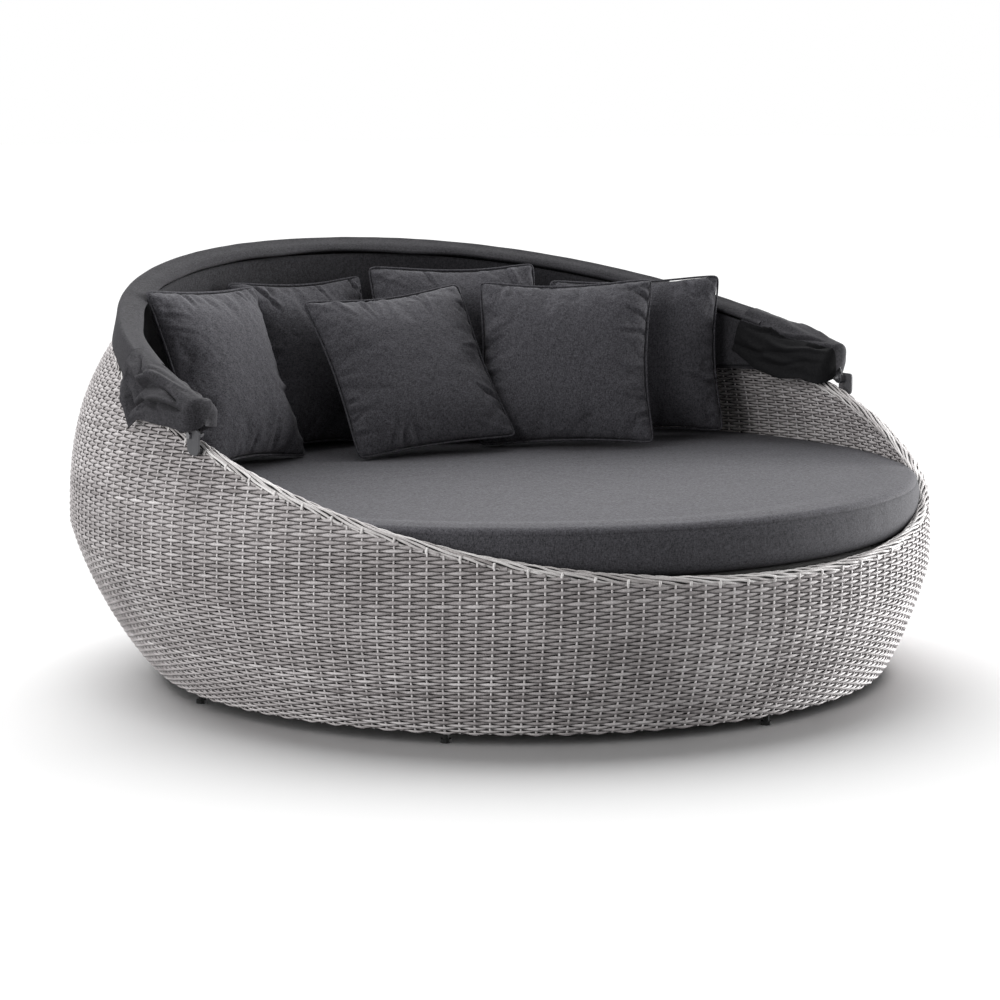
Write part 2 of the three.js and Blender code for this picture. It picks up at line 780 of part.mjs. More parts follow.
addPart('outer_weave', cut(outerSkin(), stubHoles), wicker);
addPart('inner_weave', innerSkin(), wicker);
addPart('rim_braid', cut(rimBraid(), stubHoles), wicker);
addPart('rim_tube', cut(rimTube(), stubHoles), frameMetal);
addPart('base_ring', ringSolid((a) =>
  tubeSection(baseRingPoint(a), ringHalfHeight)), frameMetal);
addPart('middle_ring', ringSolid((a) =>
  tubeSection(wallPoint(a, middleRingHeight, middleRingInset), ringHalfHeight)), frameMetal);
addPart('seat_ring', ringSolid((a) =>
  tubeSection(levelPoint(a, seatRingHeight, seatRingInset), ringHalfHeight)), frameMetal);

for (let i = 0; i < ribCount; i += 1) {
  const azimuth = ringAngles[(i * ringSteps) / ribCount];
  addPart(`rib_${i + 1}`, rib(azimuth), frameMetal);
  const under = place(azimuth, baseRingPoint(azimuth));
  addPart(`foot_${i + 1}`, foot(under, footPadRadius), plastic);
}

addPart('seat_deck', deck(), wicker);
for (let i = 0; i < railCount; i += 1) {
  addPart(`cross_rail_${i + 1}`, crossRail((i - (railCount - 1) / 2) * railSpacing), frameMetal);
}
addPart('centre_leg', centreLeg(), frameMetal);
addPart('centre_foot', foot(new THREE.Vector3(), centrePadRadius), plastic);

['rear', 'middle', 'front'].forEach((name, level) => {
  addPart(`${name}_bow`, bow(level), frameMetal);
  for (const [sideName, side] of sides) {
    addPart(`${name}_bow_end_${sideName}`, endPlate(level, side), frameMetal);
  }
  addPart(`canopy_panel_${name}`, curtain(level), fabric);
});
for (const [sideName, side] of sides) {
  addPart(`rim_bracket_${sideName}`, bracket(side), frameMetal);
  addPart(`pivot_bolt_${sideName}`, pivotBolt(side), steel);
  addPart(`pivot_nut_${sideName}`, pivotNut(side), steel);
  addPart(`canopy_side_${sideName}`, sideBunch(side), fabric);
}
addPart('canopy_hood', hood(), fabric);

addPart('mattress', mattress(), fabric);

// Each cushion stands on its lower edge: x and y shares of the bed's radius, how far it is turned,
// leans back and is rolled, in degrees, and its height share.
const cushionPlaceShares = [
  ['left_front', -0.447, 0.362, 23, 22, -2.2, 1],
  ['left_rear', -0.111, 0.565, 6, 15, 0, 0.97],
  ['centre_front', 0.016, 0.253, -11.5, 35.5, 5, 1.02],
  ['centre_rear', 0.244, 0.451, -23.5, 15.5, 0.5, 1.03],
  ['right_front', 0.355, 0.189, -41, 21, 1, 0.975],
  ['right_rear', 0.637, 0.239, -35, 5.5, 1.4, 0.915],
];
for (const [name, x, y, yaw, lean, roll, tall] of cushionPlaceShares) {
  const holder = new THREE.Group();
  const lift = cushionHalfSize * Math.abs(Math.sin(roll * degree)) * Math.cos(lean * degree);
  holder.position.set(x * bedRadius, y * bedRadius, mattressTop + seatGap + lift);
  holder.rotation.set(-lean * degree, -roll * degree, yaw * degree, 'ZXY');
  const pad = new THREE.Mesh(cushion(tall), fabric());
  pad.name = `cushion_${name}`;
  pad.position.z = cushionHalfSize * tall;
  holder.add(pad);
  daybed.add(holder);
}

export default daybed;
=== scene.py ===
"""Round outdoor daybed in woven wicker with a folding canopy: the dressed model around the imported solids.

Metres, +Z up, the open front faces -Y. The woven wall, the border of the rim, the mattress, the scatter
cushions and the canopy cloth are built here. The metal parts and the feet are the solids themselves with
better materials.
"""

import math

import bpy
import numpy as np
from mathutils import Matrix, Vector


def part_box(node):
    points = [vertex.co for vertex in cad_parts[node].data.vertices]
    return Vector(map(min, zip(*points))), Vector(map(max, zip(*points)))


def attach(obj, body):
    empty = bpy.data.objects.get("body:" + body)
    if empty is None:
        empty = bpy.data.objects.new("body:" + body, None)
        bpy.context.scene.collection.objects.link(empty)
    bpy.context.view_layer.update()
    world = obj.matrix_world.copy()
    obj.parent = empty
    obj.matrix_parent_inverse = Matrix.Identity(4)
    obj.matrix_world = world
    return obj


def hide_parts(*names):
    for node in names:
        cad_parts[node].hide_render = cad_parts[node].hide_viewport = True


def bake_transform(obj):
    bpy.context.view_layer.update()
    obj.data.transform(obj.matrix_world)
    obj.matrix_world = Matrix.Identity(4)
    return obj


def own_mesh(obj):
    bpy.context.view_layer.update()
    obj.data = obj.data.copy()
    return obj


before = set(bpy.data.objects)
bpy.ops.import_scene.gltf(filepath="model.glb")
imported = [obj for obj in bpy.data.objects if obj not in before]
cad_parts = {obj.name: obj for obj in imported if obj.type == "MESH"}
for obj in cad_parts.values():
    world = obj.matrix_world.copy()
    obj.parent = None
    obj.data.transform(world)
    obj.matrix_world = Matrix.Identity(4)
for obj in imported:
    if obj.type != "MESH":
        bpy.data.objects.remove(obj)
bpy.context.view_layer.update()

# Woven wall, with the same driving sizes as the solids
BED_RADIUS = 1.0
BASE_RADIUS = 0.838
REAR_BASE_TUCK = 0.097
BELLY_HEIGHT = 0.323
BELLY_RISE = 0.078
WALL_REACH = 0.692
BASE_SHIFT = 0.018
WEAVE_LIFT = 0.020
LOWER_CURVE = 1.26
UPPER_CURVE = 2.51
WALL_THICKNESS = 0.0256
FRONT_RIM_HEIGHT = 0.346
FRONT_RIM_INSET = 0.003
PIVOT_RIM_HEIGHT = 0.603
FRONT_RIM_SLOPE = 0.212
SIDE_RIM_SLOPE = 0.34
FOLD_SLOPE = 0.28
RIM_RADIUS = 0.014

# Canopy pivots and hoops
PIVOT_Y = -0.170
PIVOT_RISE = 0.015
BOW_OVERHANG = 0.010
BOW_REAR_INSET = 0.046
BOW_CURVE = 2.13
BOW_TUBE_RADIUS = 0.011
BOW_PITCH = 0.030

# Weave: upright stakes and the strands woven round them
STAKES = 184
STEPS_PER_STAKE = 4
STAKE_WIDTH = 0.0048
STAKE_DEPTH = 0.0030
ROW_PITCH = 0.0075
STRAND_WIDE = 0.0071
STRAND_NARROW = 0.0030
STRAND_DEPTH = 0.0025
WEAVE_WAVE = 0.0018
UNDER_STAKE_PAINTED_SHADE = 0.55
OVER_STAKE_BULGE = 0.0028
STAKE_WAVE = 0.0009
WEAVE_INSET = 0.0030
SHADOW_SKIN_INSET = 0.0062
SHADOW_SKIN_THICKNESS = 0.0008

TURN = 2 * math.pi
NOISE_TERMS = 14


# Mesh helpers


def mesh_object(name, points, faces, look):
    """A smooth mesh from its points and the points of each face."""
    mesh = bpy.data.meshes.new(name)
    mesh.from_pydata(points, [], faces, shade_flat=False)
    mesh.validate()
    mesh.materials.append(look)
    piece = bpy.data.objects.new(name, mesh)
    bpy.context.scene.collection.objects.link(piece)
    return piece


def read(items, name, width, kind=np.float64):
    """One property of all of a mesh's points, corners or triangles, a row for each."""
    values = np.empty(len(items) * width, kind)
    items.foreach_get(name, values)
    return values.reshape(-1, width)


def closed_object(name, points, faces, look):
    """A closed mesh, turned so that its faces look outward."""
    piece = mesh_object(name, points, faces, look)
    mesh = piece.data
    mesh.calc_loop_triangles()
    co = read(mesh.vertices, "co", 3)
    triangles = read(mesh.loop_triangles, "vertices", 3, np.int32)
    a, b, c = (co[triangles[:, i]] for i in range(3))
    if np.einsum("ij,ij->i", a, np.cross(b, c)).sum() < 0:
        mesh.flip_normals()
    return piece


def set_tones(piece, values):
    attribute = piece.data.attributes.new("tone", "FLOAT", "POINT")
    attribute.data.foreach_set("value", np.asarray(values, np.float32))


def renumbering(count, *faces):
    """The points that the faces use, and their new numbers."""
    used = np.unique(np.concatenate([f.ravel() for f in faces]))
    numbers = np.zeros(count, np.int64)
    numbers[used] = np.arange(len(used))
    return used, numbers


def tube_faces(rings, sides, closed_ring=False, start=0):
    """Quads between successive rings of points, each ring closed."""
    i = np.arange(rings if closed_ring else rings - 1)[:, None]
    j = np.arange(sides)[None, :]
    k = (j + 1) % sides
    n = (i + 1) % rings
    quads = np.stack([i * sides + j, i * sides + k, n * sides + k, n * sides + j], -1)
    return quads.reshape(-1, 4) + start


def end_caps(rings, sides, start=0):
    first = np.arange(sides)[::-1][None, :] + start
    last = np.arange(sides)[None, :] + (rings - 1) * sides + start
    return np.concatenate([first, last])


def unit(vectors):
    return vectors / np.maximum(np.linalg.norm(vectors, axis=-1), 1e-9)[..., None]


def smooth_noise(shape, scale, seed):
    """Smooth random values round zero on a grid that closes on itself along its first axis."""
    source = np.random.default_rng(seed)
    total = np.zeros(shape)
    x, y = (np.arange(count) / count for count in shape)
    for _ in range(NOISE_TERMS):
        fx = source.integers(1, max(2, scale[0]) + 1)
        fy = source.uniform(0.3, scale[1])
        phase = source.uniform(0, TURN, 2)
        total += source.uniform(0.4, 1) * np.outer(
            np.cos(TURN * fx * x + phase[0]), np.cos(TURN * fy * y + phase[1])
        )
    return total / 4


# Materials
STREAK_SCALE = 260
WICKER_PATCH_SCALE = 9
THREAD_SCALE = 560
THREAD_STRETCHES = ((1, 0.25, 0.25), (0.25, 1, 0.25), (0.25, 0.25, 1))
SLUB_SCALE = 450
CLOTH_PATCH_SCALE = 14
WEAR_SCALE = 25
WEAR_SPREAD = 0.25


class NodeMaker:
    """Adds shader nodes to a node tree."""

    def __init__(self, tree):
        self.nodes, self.links = tree.nodes, tree.links

    def fill(self, node, inputs):
        """Gives each input a value or a link from another node's output."""
        for key, value in inputs.items():
            if isinstance(value, bpy.types.NodeSocket):
                self.links.new(value, node.inputs[key])
            else:
                node.inputs[key].default_value = value

    def add(self, kind, inputs, output, **settings):
        node = self.nodes.new(f"ShaderNode{kind}")
        for key, value in settings.items():
            setattr(node, key, value)
        self.fill(node, inputs)
        return node.outputs[output]

    def place(self):
        return self.add("TexCoord", {}, "Object")

    def bump(self, height, distance, strength):
        return self.add("Bump", {"Distance": distance, "Strength": strength, "Height": height}, "Normal")

    def noise(self, vector, scale, detail):
        inputs = {"Scale": scale, "Detail": detail, "Roughness": 0.6, "Vector": vector}
        return self.add("TexNoise", inputs, "Fac")

    def math(self, operation, *values, clamp=False):
        return self.add("Math", dict(enumerate(values)), 0, operation=operation, use_clamp=clamp)

    def centred(self, noise, factor):
        """A noise, moved to lie round zero and scaled."""
        return self.math("MULTIPLY", self.math("SUBTRACT", noise, 0.5), factor)

    def ramp(self, value, stops):
        colour = self.add("ValToRGB", {"Fac": value}, "Color")
        elements = colour.node.color_ramp.elements
        while len(elements) < len(stops):
            elements.new(0.5)
        for element, (place, tint) in zip(elements, stops):
            element.position = place
            element.color = (*tint, 1)
        return colour


def new_material(name):
    """A material, the maker of its nodes and its shader."""
    made = bpy.data.materials.new(name)
    made.use_nodes = True
    return made, NodeMaker(made.node_tree), made.node_tree.nodes["Principled BSDF"]


def wicker_material(name, dark, middle, light):
    """Whitewashed synthetic strands: each strand has its own tone, with faint streaks. In the woven wall
    the tone also holds painted shade where a strand passes under a stake.
    """
    made, maker, shader = new_material(name)
    place = maker.place()
    fine = maker.noise(place, STREAK_SCALE, 4)
    broad = maker.noise(place, WICKER_PATCH_SCALE, 2)
    tone = maker.add("Attribute", {}, "Fac", attribute_name="tone")
    tone = maker.math("ADD", tone, maker.centred(fine, 0.7))
    tone = maker.math("ADD", tone, maker.centred(broad, 0.5), clamp=True)
    maker.fill(shader, {
        "Base Color": maker.ramp(tone, [(0.0, dark), (0.5, middle), (1.0, light)]),
        "Roughness": 0.5,
        "Specular IOR Level": 0.35,
        "Normal": maker.bump(fine, 0.0006, 0.5),
    })
    return made


def cloth_material(name, dark, light, sheen):
    """Heathered outdoor fabric: light and dark threads in three directions, slubs and a soft sheen."""
    made, maker, shader = new_material(name)
    place = maker.place()
    threads = [
        maker.noise(maker.add("Mapping", {"Scale": stretch, "Vector": place}, "Vector"), THREAD_SCALE, 1)
        for stretch in THREAD_STRETCHES
    ]
    mixed = maker.math("ADD", maker.math("ADD", threads[0], threads[1]), threads[2])
    mixed = maker.math("DIVIDE", mixed, 3.0)
    slubs = maker.noise(place, SLUB_SCALE, 1)
    patches = maker.noise(place, CLOTH_PATCH_SCALE, 2)
    tone = maker.math("MULTIPLY_ADD", mixed, 2.8, -0.9)
    tone = maker.math("ADD", tone, maker.centred(slubs, 1.2))
    tone = maker.math("ADD", tone, maker.centred(patches, 0.12), clamp=True)
    maker.fill(shader, {
        "Base Color": maker.ramp(tone, [(0.0, dark), (1.0, light)]),
        "Roughness": 0.88,
        "Specular IOR Level": 0.2,
        "Sheen Weight": sheen,
        "Sheen Roughness": 0.5,
        "Normal": maker.bump(mixed, 0.0009, 0.5),
    })
    return made


def plain_material(name, colour, roughness, metallic=0.0, grain=300.0):
    """Painted or moulded surface with fine grain and slight wear in its tone."""
    made, maker, shader = new_material(name)
    place = maker.place()
    fine = maker.noise(place, grain, 3)
    worn = maker.math("ADD", fine, maker.noise(place, WEAR_SCALE, 3))
    worn = maker.math("MULTIPLY", worn, 0.5, clamp=True)
    low = [c * (1 - WEAR_SPREAD) for c in colour]
    high = [min(1, c * (1 + WEAR_SPREAD)) for c in colour]
    maker.fill(shader, {
        "Base Color": maker.ramp(worn, [(0.2, low), (0.8, high)]),
        "Roughness": roughness,
        "Metallic": metallic,
        "Normal": maker.bump(fine, 0.0002, 0.4),
    })
    return made


WICKER = wicker_material("wicker_strands", (0.13, 0.115, 0.114), (0.41, 0.384, 0.384), (0.76, 0.73, 0.73))
RIM_WICKER = wicker_material("rim_strands", (0.27, 0.245, 0.24), (0.55, 0.525, 0.52), (0.80, 0.78, 0.77))
# Near-black sheet behind the woven strands: painted shadow between them.
SHADOW_SKIN_LOOK = plain_material("weave_shadow", (0.022, 0.02, 0.02), 0.9)
FABRIC = cloth_material("seat_fabric", (0.025, 0.024, 0.028), (0.116, 0.114, 0.128), 0.03)
MATTRESS_FABRIC = cloth_material("mattress_fabric", (0.031, 0.030, 0.034), (0.113, 0.111, 0.124), 0.03)
# The mattress's side is a darker copy of its top fabric: painted shade.
SHADED_SIDE_FABRIC = cloth_material("mattress_side_painted_shade", (0.020, 0.020, 0.0225), (0.090, 0.088, 0.099), 0.02)
CANOPY = cloth_material("canopy_fabric", (0.0135, 0.0135, 0.015), (0.055, 0.053, 0.060), 0.02)
CANOPY_DARK_FLAP = cloth_material("canopy_dark_flap", (0.004, 0.004, 0.005), (0.012, 0.012, 0.013), 0.0)
PIPING = cloth_material("piping_fabric", (0.022, 0.021, 0.025), (0.104, 0.102, 0.115), 0.02)
BOW_METAL = plain_material("bow_metal", (0.10, 0.10, 0.105), 0.38, 0.85)
FRAME_METAL = plain_material("frame_metal", (0.024, 0.023, 0.023), 0.7)
BRACKET_METAL = plain_material("bracket_metal", (0.11, 0.11, 0.117), 0.42, 0.5)
STEEL = plain_material("bolt_steel", (0.45, 0.45, 0.46), 0.28, 1.0)
# Near-black feet: partly their own dark plastic, partly painted shade so they merge with the shadow under
# the base.
FOOT_PLASTIC_AND_SHADE = plain_material("foot_plastic_and_shade", (0.006, 0.006, 0.006), 0.95)
# The seat deck under the mattress is near-black: painted shade in the gap between mattress and rim.
SHADED_DECK_LOOK = plain_material("deck_painted_shade", (0.022, 0.021, 0.020), 0.8, 0.0, 120)

# Shape of the wall, as arrays
SLOPE_STEP = 0.002
RIM_PASSES = 12


def azimuths(count):
    """Even directions round the bed, from the middle of its front."""
    return TURN * np.arange(count) / count - math.pi / 2


def rim_height(y):
    """Height of the rim's top: a smooth rise to the pivots, then the slope of the folded canopy."""
    front_y = FRONT_RIM_INSET - BED_RADIUS
    run = PIVOT_Y - front_y
    t = np.clip((y - front_y) / run, 0, 1)
    t2, t3 = t * t, t * t * t
    front = (
        (2 * t3 - 3 * t2 + 1) * FRONT_RIM_HEIGHT
        + (3 * t2 - 2 * t3) * PIVOT_RIM_HEIGHT
        + (t3 - 2 * t2 + t) * run * FRONT_RIM_SLOPE
        + (t3 - t2) * run * SIDE_RIM_SLOPE
    )
    return np.where(y > PIVOT_Y, PIVOT_RIM_HEIGHT + FOLD_SLOPE * (y - PIVOT_Y), front)


def wall_radius(azimuth, z):
    """Radius of the wall's outer face, rounded above and below the belly."""
    azimuth, z = np.broadcast_arrays(azimuth, z)
    belly = BELLY_HEIGHT + BELLY_RISE * np.sin(azimuth)
    foot = BASE_RADIUS - REAR_BASE_TUCK * np.sin(azimuth)
    rise = np.clip((z - belly) / WALL_REACH, 0, 0.999)
    upper = BED_RADIUS * (1 - rise**UPPER_CURVE) ** (1 / UPPER_CURVE)
    depth = np.clip((belly - z) / (belly - WEAVE_LIFT), 0, 1)
    lower = foot + (BED_RADIUS - foot) * (1 - depth**LOWER_CURVE) ** (1 / LOWER_CURVE)
    return np.where(z >= belly, upper, lower)


def wall_normal(azimuth, z):
    """Outward normal of the wall, as its shares along the radius and up."""
    low = np.maximum(z, WEAVE_LIFT + SLOPE_STEP)
    rise = wall_radius(azimuth, low + SLOPE_STEP) - wall_radius(azimuth, low - SLOPE_STEP)
    slope = rise / (2 * SLOPE_STEP)
    length = np.hypot(1, slope)
    return 1 / length, -slope / length


def in_space(azimuth, radius, z):
    """Points in space. The wall below the belly stands a little further back."""
    shift = BASE_SHIFT * np.maximum(0, 1 - z / BELLY_HEIGHT)
    return np.stack([radius * np.cos(azimuth), radius * np.sin(azimuth) + shift, z + 0 * radius], -1)


def under_wall(azimuth, z, depth):
    """Points at a depth under the wall's outer face, and the wall's normal there."""
    nr, nz = wall_normal(azimuth, z)
    return in_space(azimuth, wall_radius(azimuth, z) - depth * nr, z - depth * nz), nr, nz


def rim_at(azimuth):
    """Height of the wall's seam under the border, the wall's normal there and the rim tube's centre."""
    radius = np.full(np.shape(azimuth), BED_RADIUS)
    for _ in range(RIM_PASSES):
        radius = wall_radius(azimuth, rim_height(radius * np.sin(azimuth)))
    height = rim_height(radius * np.sin(azimuth))
    nr, nz = wall_normal(azimuth, height - RIM_RADIUS)
    seam = height - RIM_RADIUS * (1 - nz)
    seam_nr, seam_nz = wall_normal(azimuth, seam)
    centre = (wall_radius(azimuth, seam) - RIM_RADIUS * seam_nr, seam - RIM_RADIUS * seam_nz)
    return seam, (nr, nz), centre


# Woven skins. A section lists its corners as shares: across the strand, and out from the wall.
STRAND_SECTION = ((1, 0), (0, 0.62), (-1, 0), (0, -0.38))
STAKE_SECTION = ((-1, -0.2), (-0.6, 0.5), (0.6, 0.5), (1, -0.2))
WALL_SAMPLES = 260
WALL_TOP = 0.9
STRAND_TONE, STRAND_TONE_SPREAD = 0.54, 0.10
STAKE_TONE, STAKE_TONE_SPREAD = 0.86, 0.08
STRAND_WIDTH_SPREAD = 0.05
STRAND_STRAY = 0.0003
LEAST_STAKE_POINTS = 3
SHADOW_SKIN_STEPS, SHADOW_SKIN_ROWS = 128, 26


def strand_tones(rows, stations, source):
    """One tone for each length of strand: rows are joined from strands of a metre or so."""
    tones = np.empty((rows, stations))
    for k in range(rows):
        places = np.sort(source.integers(0, stations, source.integers(4, 8)))
        values = np.clip(source.normal(STRAND_TONE, STRAND_TONE_SPREAD, len(places) + 1), 0.05, 1)
        values[-1] = values[0]
        tones[k] = values[np.searchsorted(places, np.arange(stations))]
    return tones


def strand_normals(ring):
    """Outward normals that run on from one sector's strands to the next sector's."""
    along = np.roll(ring, -1, 1) - np.roll(ring, 1, 1)
    around = np.roll(ring, -1, 2) - np.roll(ring, 1, 2)
    normal = unit(np.cross(around, along))
    outward = (normal * (ring - ring.mean(2, keepdims=True))).sum(3)
    return normal * np.sign(outward)[..., None]


def strand_faces(visible, sides):
    """Faces of the strands between visible stations, with a cap where the wall's edge cuts a strand off."""
    rows, count = visible.shape
    base = (np.arange(rows)[:, None] * count + np.arange(count)[None, :]) * sides
    joined = visible[:, 1:] & visible[:, :-1]
    here, there = base[:, :-1][joined], base[:, 1:][joined]
    quads = [
        np.stack([here + j, here + (j + 1) % sides, there + (j + 1) % sides, there + j], -1)
        for j in range(sides)
    ]
    starts, ends = visible.copy(), visible.copy()
    starts[:, 1:] &= ~visible[:, :-1]
    starts[:, -1] = False
    ends[:, :-1] &= ~visible[:, 1:]
    ends[:, 0] = False
    cap = np.arange(sides)
    return quads + [base[starts][:, None] + cap[::-1], base[ends][:, None] + cap]


def stake(azimuth, z, weave, top, inset, side):
    """Rings of points up one stake, which bends away from each strand that passes over it."""
    line = np.concatenate([z, [top]])
    bend = -STAKE_WAVE * np.concatenate([weave, [-1]])
    middle, nr, nz = under_wall(azimuth, line, inset - side * bend)
    across = np.array([-math.sin(azimuth), math.cos(azimuth), 0.0])
    outward = np.stack([nr * math.cos(azimuth), nr * math.sin(azimuth), nz], -1)
    return np.stack([
        middle + u * (STAKE_WIDTH / 2) * across + side * v * STAKE_DEPTH * outward for u, v in STAKE_SECTION
    ], 1)


def woven_skin(name, side, bottom, sectors, body, node):
    """Strands woven round stakes over the wall's outer (side 1) or inner (side -1) face, in sectors."""
    stations = STAKES * STEPS_PER_STAKE
    azimuth = azimuths(stations)
    seam, _, _ = rim_at(azimuth)
    heights = np.linspace(WEAVE_LIFT, WALL_TOP, WALL_SAMPLES)
    radius = wall_radius(azimuth[:, None], heights[None, :])
    length = np.concatenate([np.zeros((stations, 1)), np.cumsum(
        np.hypot(np.diff(radius, axis=1), np.diff(heights)[None, :]), 1)], 1)
    rows = int(length.max() / ROW_PITCH)
    arc = ROW_PITCH * (np.arange(rows) + 0.5)
    z = np.array([np.interp(arc, length[j], heights) for j in range(stations)]).T
    top = seam - 0.3 * RIM_RADIUS
    inset = WEAVE_INSET if side > 0 else WALL_THICKNESS - WEAVE_INSET
    nr, nz = wall_normal(azimuth[None, :], z)
    phase = TURN * np.arange(stations) / (2 * STEPS_PER_STAKE)
    weave = np.cos(phase)[None, :] * np.where(np.arange(rows) % 2, 1, -1)[:, None]
    swell = np.clip((weave + 1) / 1.05, 0, 1) ** 0.75
    source = np.random.default_rng(5 if side > 0 else 6)
    width = (STRAND_NARROW + (STRAND_WIDE - STRAND_NARROW) * swell) / 2
    width = width + OVER_STAKE_BULGE / 2 * np.clip(weave, 0, 1) ** 1.5
    width = width * (1 + STRAND_WIDTH_SPREAD * source.standard_normal((rows, 1)))
    out = WEAVE_WAVE * weave + STRAND_STRAY * source.standard_normal((rows, stations))
    r0 = wall_radius(azimuth[None, :], z) - inset * nr + side * out * nr
    z0 = z - inset * nz + side * out * nz
    # Each strand's tone is darkened where it dives under a stake: painted shade.
    tones = strand_tones(rows, stations, source) * (1 - UNDER_STAKE_PAINTED_SHADE * (1 - swell))
    ring = np.stack([
        in_space(
            azimuth[None, :],
            r0 + u * width * -nz + side * v * STRAND_DEPTH * nr,
            z0 + u * width * nr + side * v * STRAND_DEPTH * nz,
        )
        for u, v in STRAND_SECTION
    ], 2)
    facing = strand_normals(ring)
    shown = (z < top[None, :]) & (z > bottom)
    sides = len(STRAND_SECTION)
    for sector in range(sectors):
        first, last = sector * stations // sectors, (sector + 1) * stations // sectors
        inside = np.arange(first, last + 1) % stations
        points = [ring[:, inside].reshape(-1, 3)]
        faces = strand_faces(shown[:, inside], sides)
        tone = [np.repeat(tones[:, inside].ravel(), sides)]
        of_strands = offset = len(points[0])
        for j in range(first, last, STEPS_PER_STAKE):
            picked = shown[:, j]
            if picked.sum() < LEAST_STAKE_POINTS:
                continue
            rings = stake(azimuth[j], z[picked, j], weave[picked, j], top[j], inset, side)
            count, corners = rings.shape[:2]
            points.append(rings.reshape(-1, 3))
            faces += [tube_faces(count, corners, start=offset), end_caps(count, corners, start=offset)]
            shade = np.clip(source.normal(STAKE_TONE, STAKE_TONE_SPREAD), 0, 1)
            tone.append(np.full(count * corners, shade))
            offset += count * corners
        faces = np.concatenate(faces)
        used, numbers = renumbering(offset, faces)
        piece = closed_object(f"{name}_{sector + 1}", np.concatenate(points)[used], numbers[faces], WICKER)
        set_tones(piece, np.concatenate(tone)[used])
        normals = np.zeros((len(used), 3))
        strand_points = used[used < of_strands]
        normals[:len(strand_points)] = facing[:, inside].reshape(-1, 3)[strand_points]
        piece.data.normals_split_custom_set_from_vertices(normals.tolist())
        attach(piece, body)
        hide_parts(node)


def shadow_skin(name, inset, bottom, body, node):
    """Thin dark skin behind the strands, which shows as the shadow between them."""
    azimuth = azimuths(SHADOW_SKIN_STEPS)
    seam, _, _ = rim_at(azimuth)
    share = np.linspace(0, 1, SHADOW_SKIN_ROWS + 1) ** 1.3
    z = bottom + (seam - bottom)[:, None] * share[None, :]
    front, back = (under_wall(azimuth[:, None], z, depth)[0] for depth in (inset, inset + SHADOW_SKIN_THICKNESS))
    ring = np.concatenate([front, back[:, ::-1]], 1)
    piece = closed_object(name, ring.reshape(-1, 3), tube_faces(SHADOW_SKIN_STEPS, ring.shape[1], True), SHADOW_SKIN_LOOK)
    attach(piece, body)
    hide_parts(node)


woven_skin("outer_strands", 1, WEAVE_LIFT, 8, "base", "outer_weave")
woven_skin("inner_strands", -1, 0.40, 4, "base", "inner_weave")
# Dark skins behind the outer and inner strands: painted shadow in the gaps of the weave.
shadow_skin("outer_shadow_skin", SHADOW_SKIN_INSET, WEAVE_LIFT + 0.001, "base", "outer_weave")
shadow_skin("inner_shadow_skin", WALL_THICKNESS - SHADOW_SKIN_INSET - SHADOW_SKIN_THICKNESS, 0.30, "base", "inner_weave")

# Border of the rim: long helical strands in pairs laid round the tube, over the ends of the stakes
RIM_PAIRS = 5
RIM_PAIR_SPREAD = 0.27
RIM_STRAND_WIDTH = 0.0060
RIM_STRAND_DEPTH = 0.0040
RIM_TWIST_LENGTH = 0.60
RIM_STATIONS = 552
RIM_SECTION = ((1, -0.1), (0.55, 0.42), (-0.55, 0.42), (-1, -0.1), (0, -0.5))
KNOT_RINGS = 7
KNOT_SECTION = ((1, -0.4), (0.6, 0.5), (-0.6, 0.5), (-1, -0.4))
KNOT_WIDTH = 0.0033
KNOT_DEPTH = 0.0024


def rim_path(stations):
    """The rim tube's centres, their directions along, outward and up, the run to each and its length."""
    azimuth = azimuths(stations)
    _, (nr, nz), (radius, height) = rim_at(azimuth)
    centre = in_space(azimuth, radius, height)
    along = unit(np.roll(centre, -1, 0) - np.roll(centre, 1, 0))
    outward = np.stack([nr * np.cos(azimuth), nr * np.sin(azimuth), nz], -1)
    outward = unit(outward - (outward * along).sum(1)[:, None] * along)
    up = np.cross(outward, along)
    up *= np.sign(up[:, 2:3])
    run = np.concatenate([[0], np.cumsum(np.linalg.norm(np.diff(centre, axis=0), axis=1))])
    return centre, along, outward, up, run, run[-1] + np.linalg.norm(centre[0] - centre[-1])


def rim_piece(name, points, faces, tones):
    piece = closed_object(name, np.concatenate(points), np.concatenate(faces), RIM_WICKER)
    set_tones(piece, np.concatenate(tones))
    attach(piece, "base")
    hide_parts("rim_braid")


def rim_border():
    centre, _, outward, up, run, total = rim_path(RIM_STATIONS)
    twists = round(total / RIM_TWIST_LENGTH)
    source = np.random.default_rng(21)
    points, faces, tones = [], [], []
    sides = len(RIM_SECTION)
    for s in range(2 * RIM_PAIRS):
        start = TURN * (s // 2) / RIM_PAIRS + RIM_PAIR_SPREAD * (1 if s % 2 else -1)
        sway = 0.12 * np.sin(TURN * (run / total) * 61 + s * 1.7)
        turn = -(start + TURN * twists * run / total) + sway
        lift = RIM_RADIUS - 0.0030 + 0.0013 * np.sin(TURN * (run / total) * 92 + s * math.pi)
        radial = np.cos(turn)[:, None] * outward + np.sin(turn)[:, None] * up
        around = -np.sin(turn)[:, None] * outward + np.cos(turn)[:, None] * up
        ring = np.stack([
            centre + (lift[:, None] + v * RIM_STRAND_DEPTH) * radial + u * RIM_STRAND_WIDTH / 2 * around
            for u, v in RIM_SECTION
        ], 1)
        faces.append(tube_faces(RIM_STATIONS, sides, True, start=s * RIM_STATIONS * sides))
        points.append(ring.reshape(-1, 3))
        base = np.clip(source.normal(0.6, 0.16), 0, 1)
        tones.append(np.repeat(base + 0.14 * np.sin(run / total * 31 + s), sides))
    rim_piece("rim_strands", points, faces, tones)


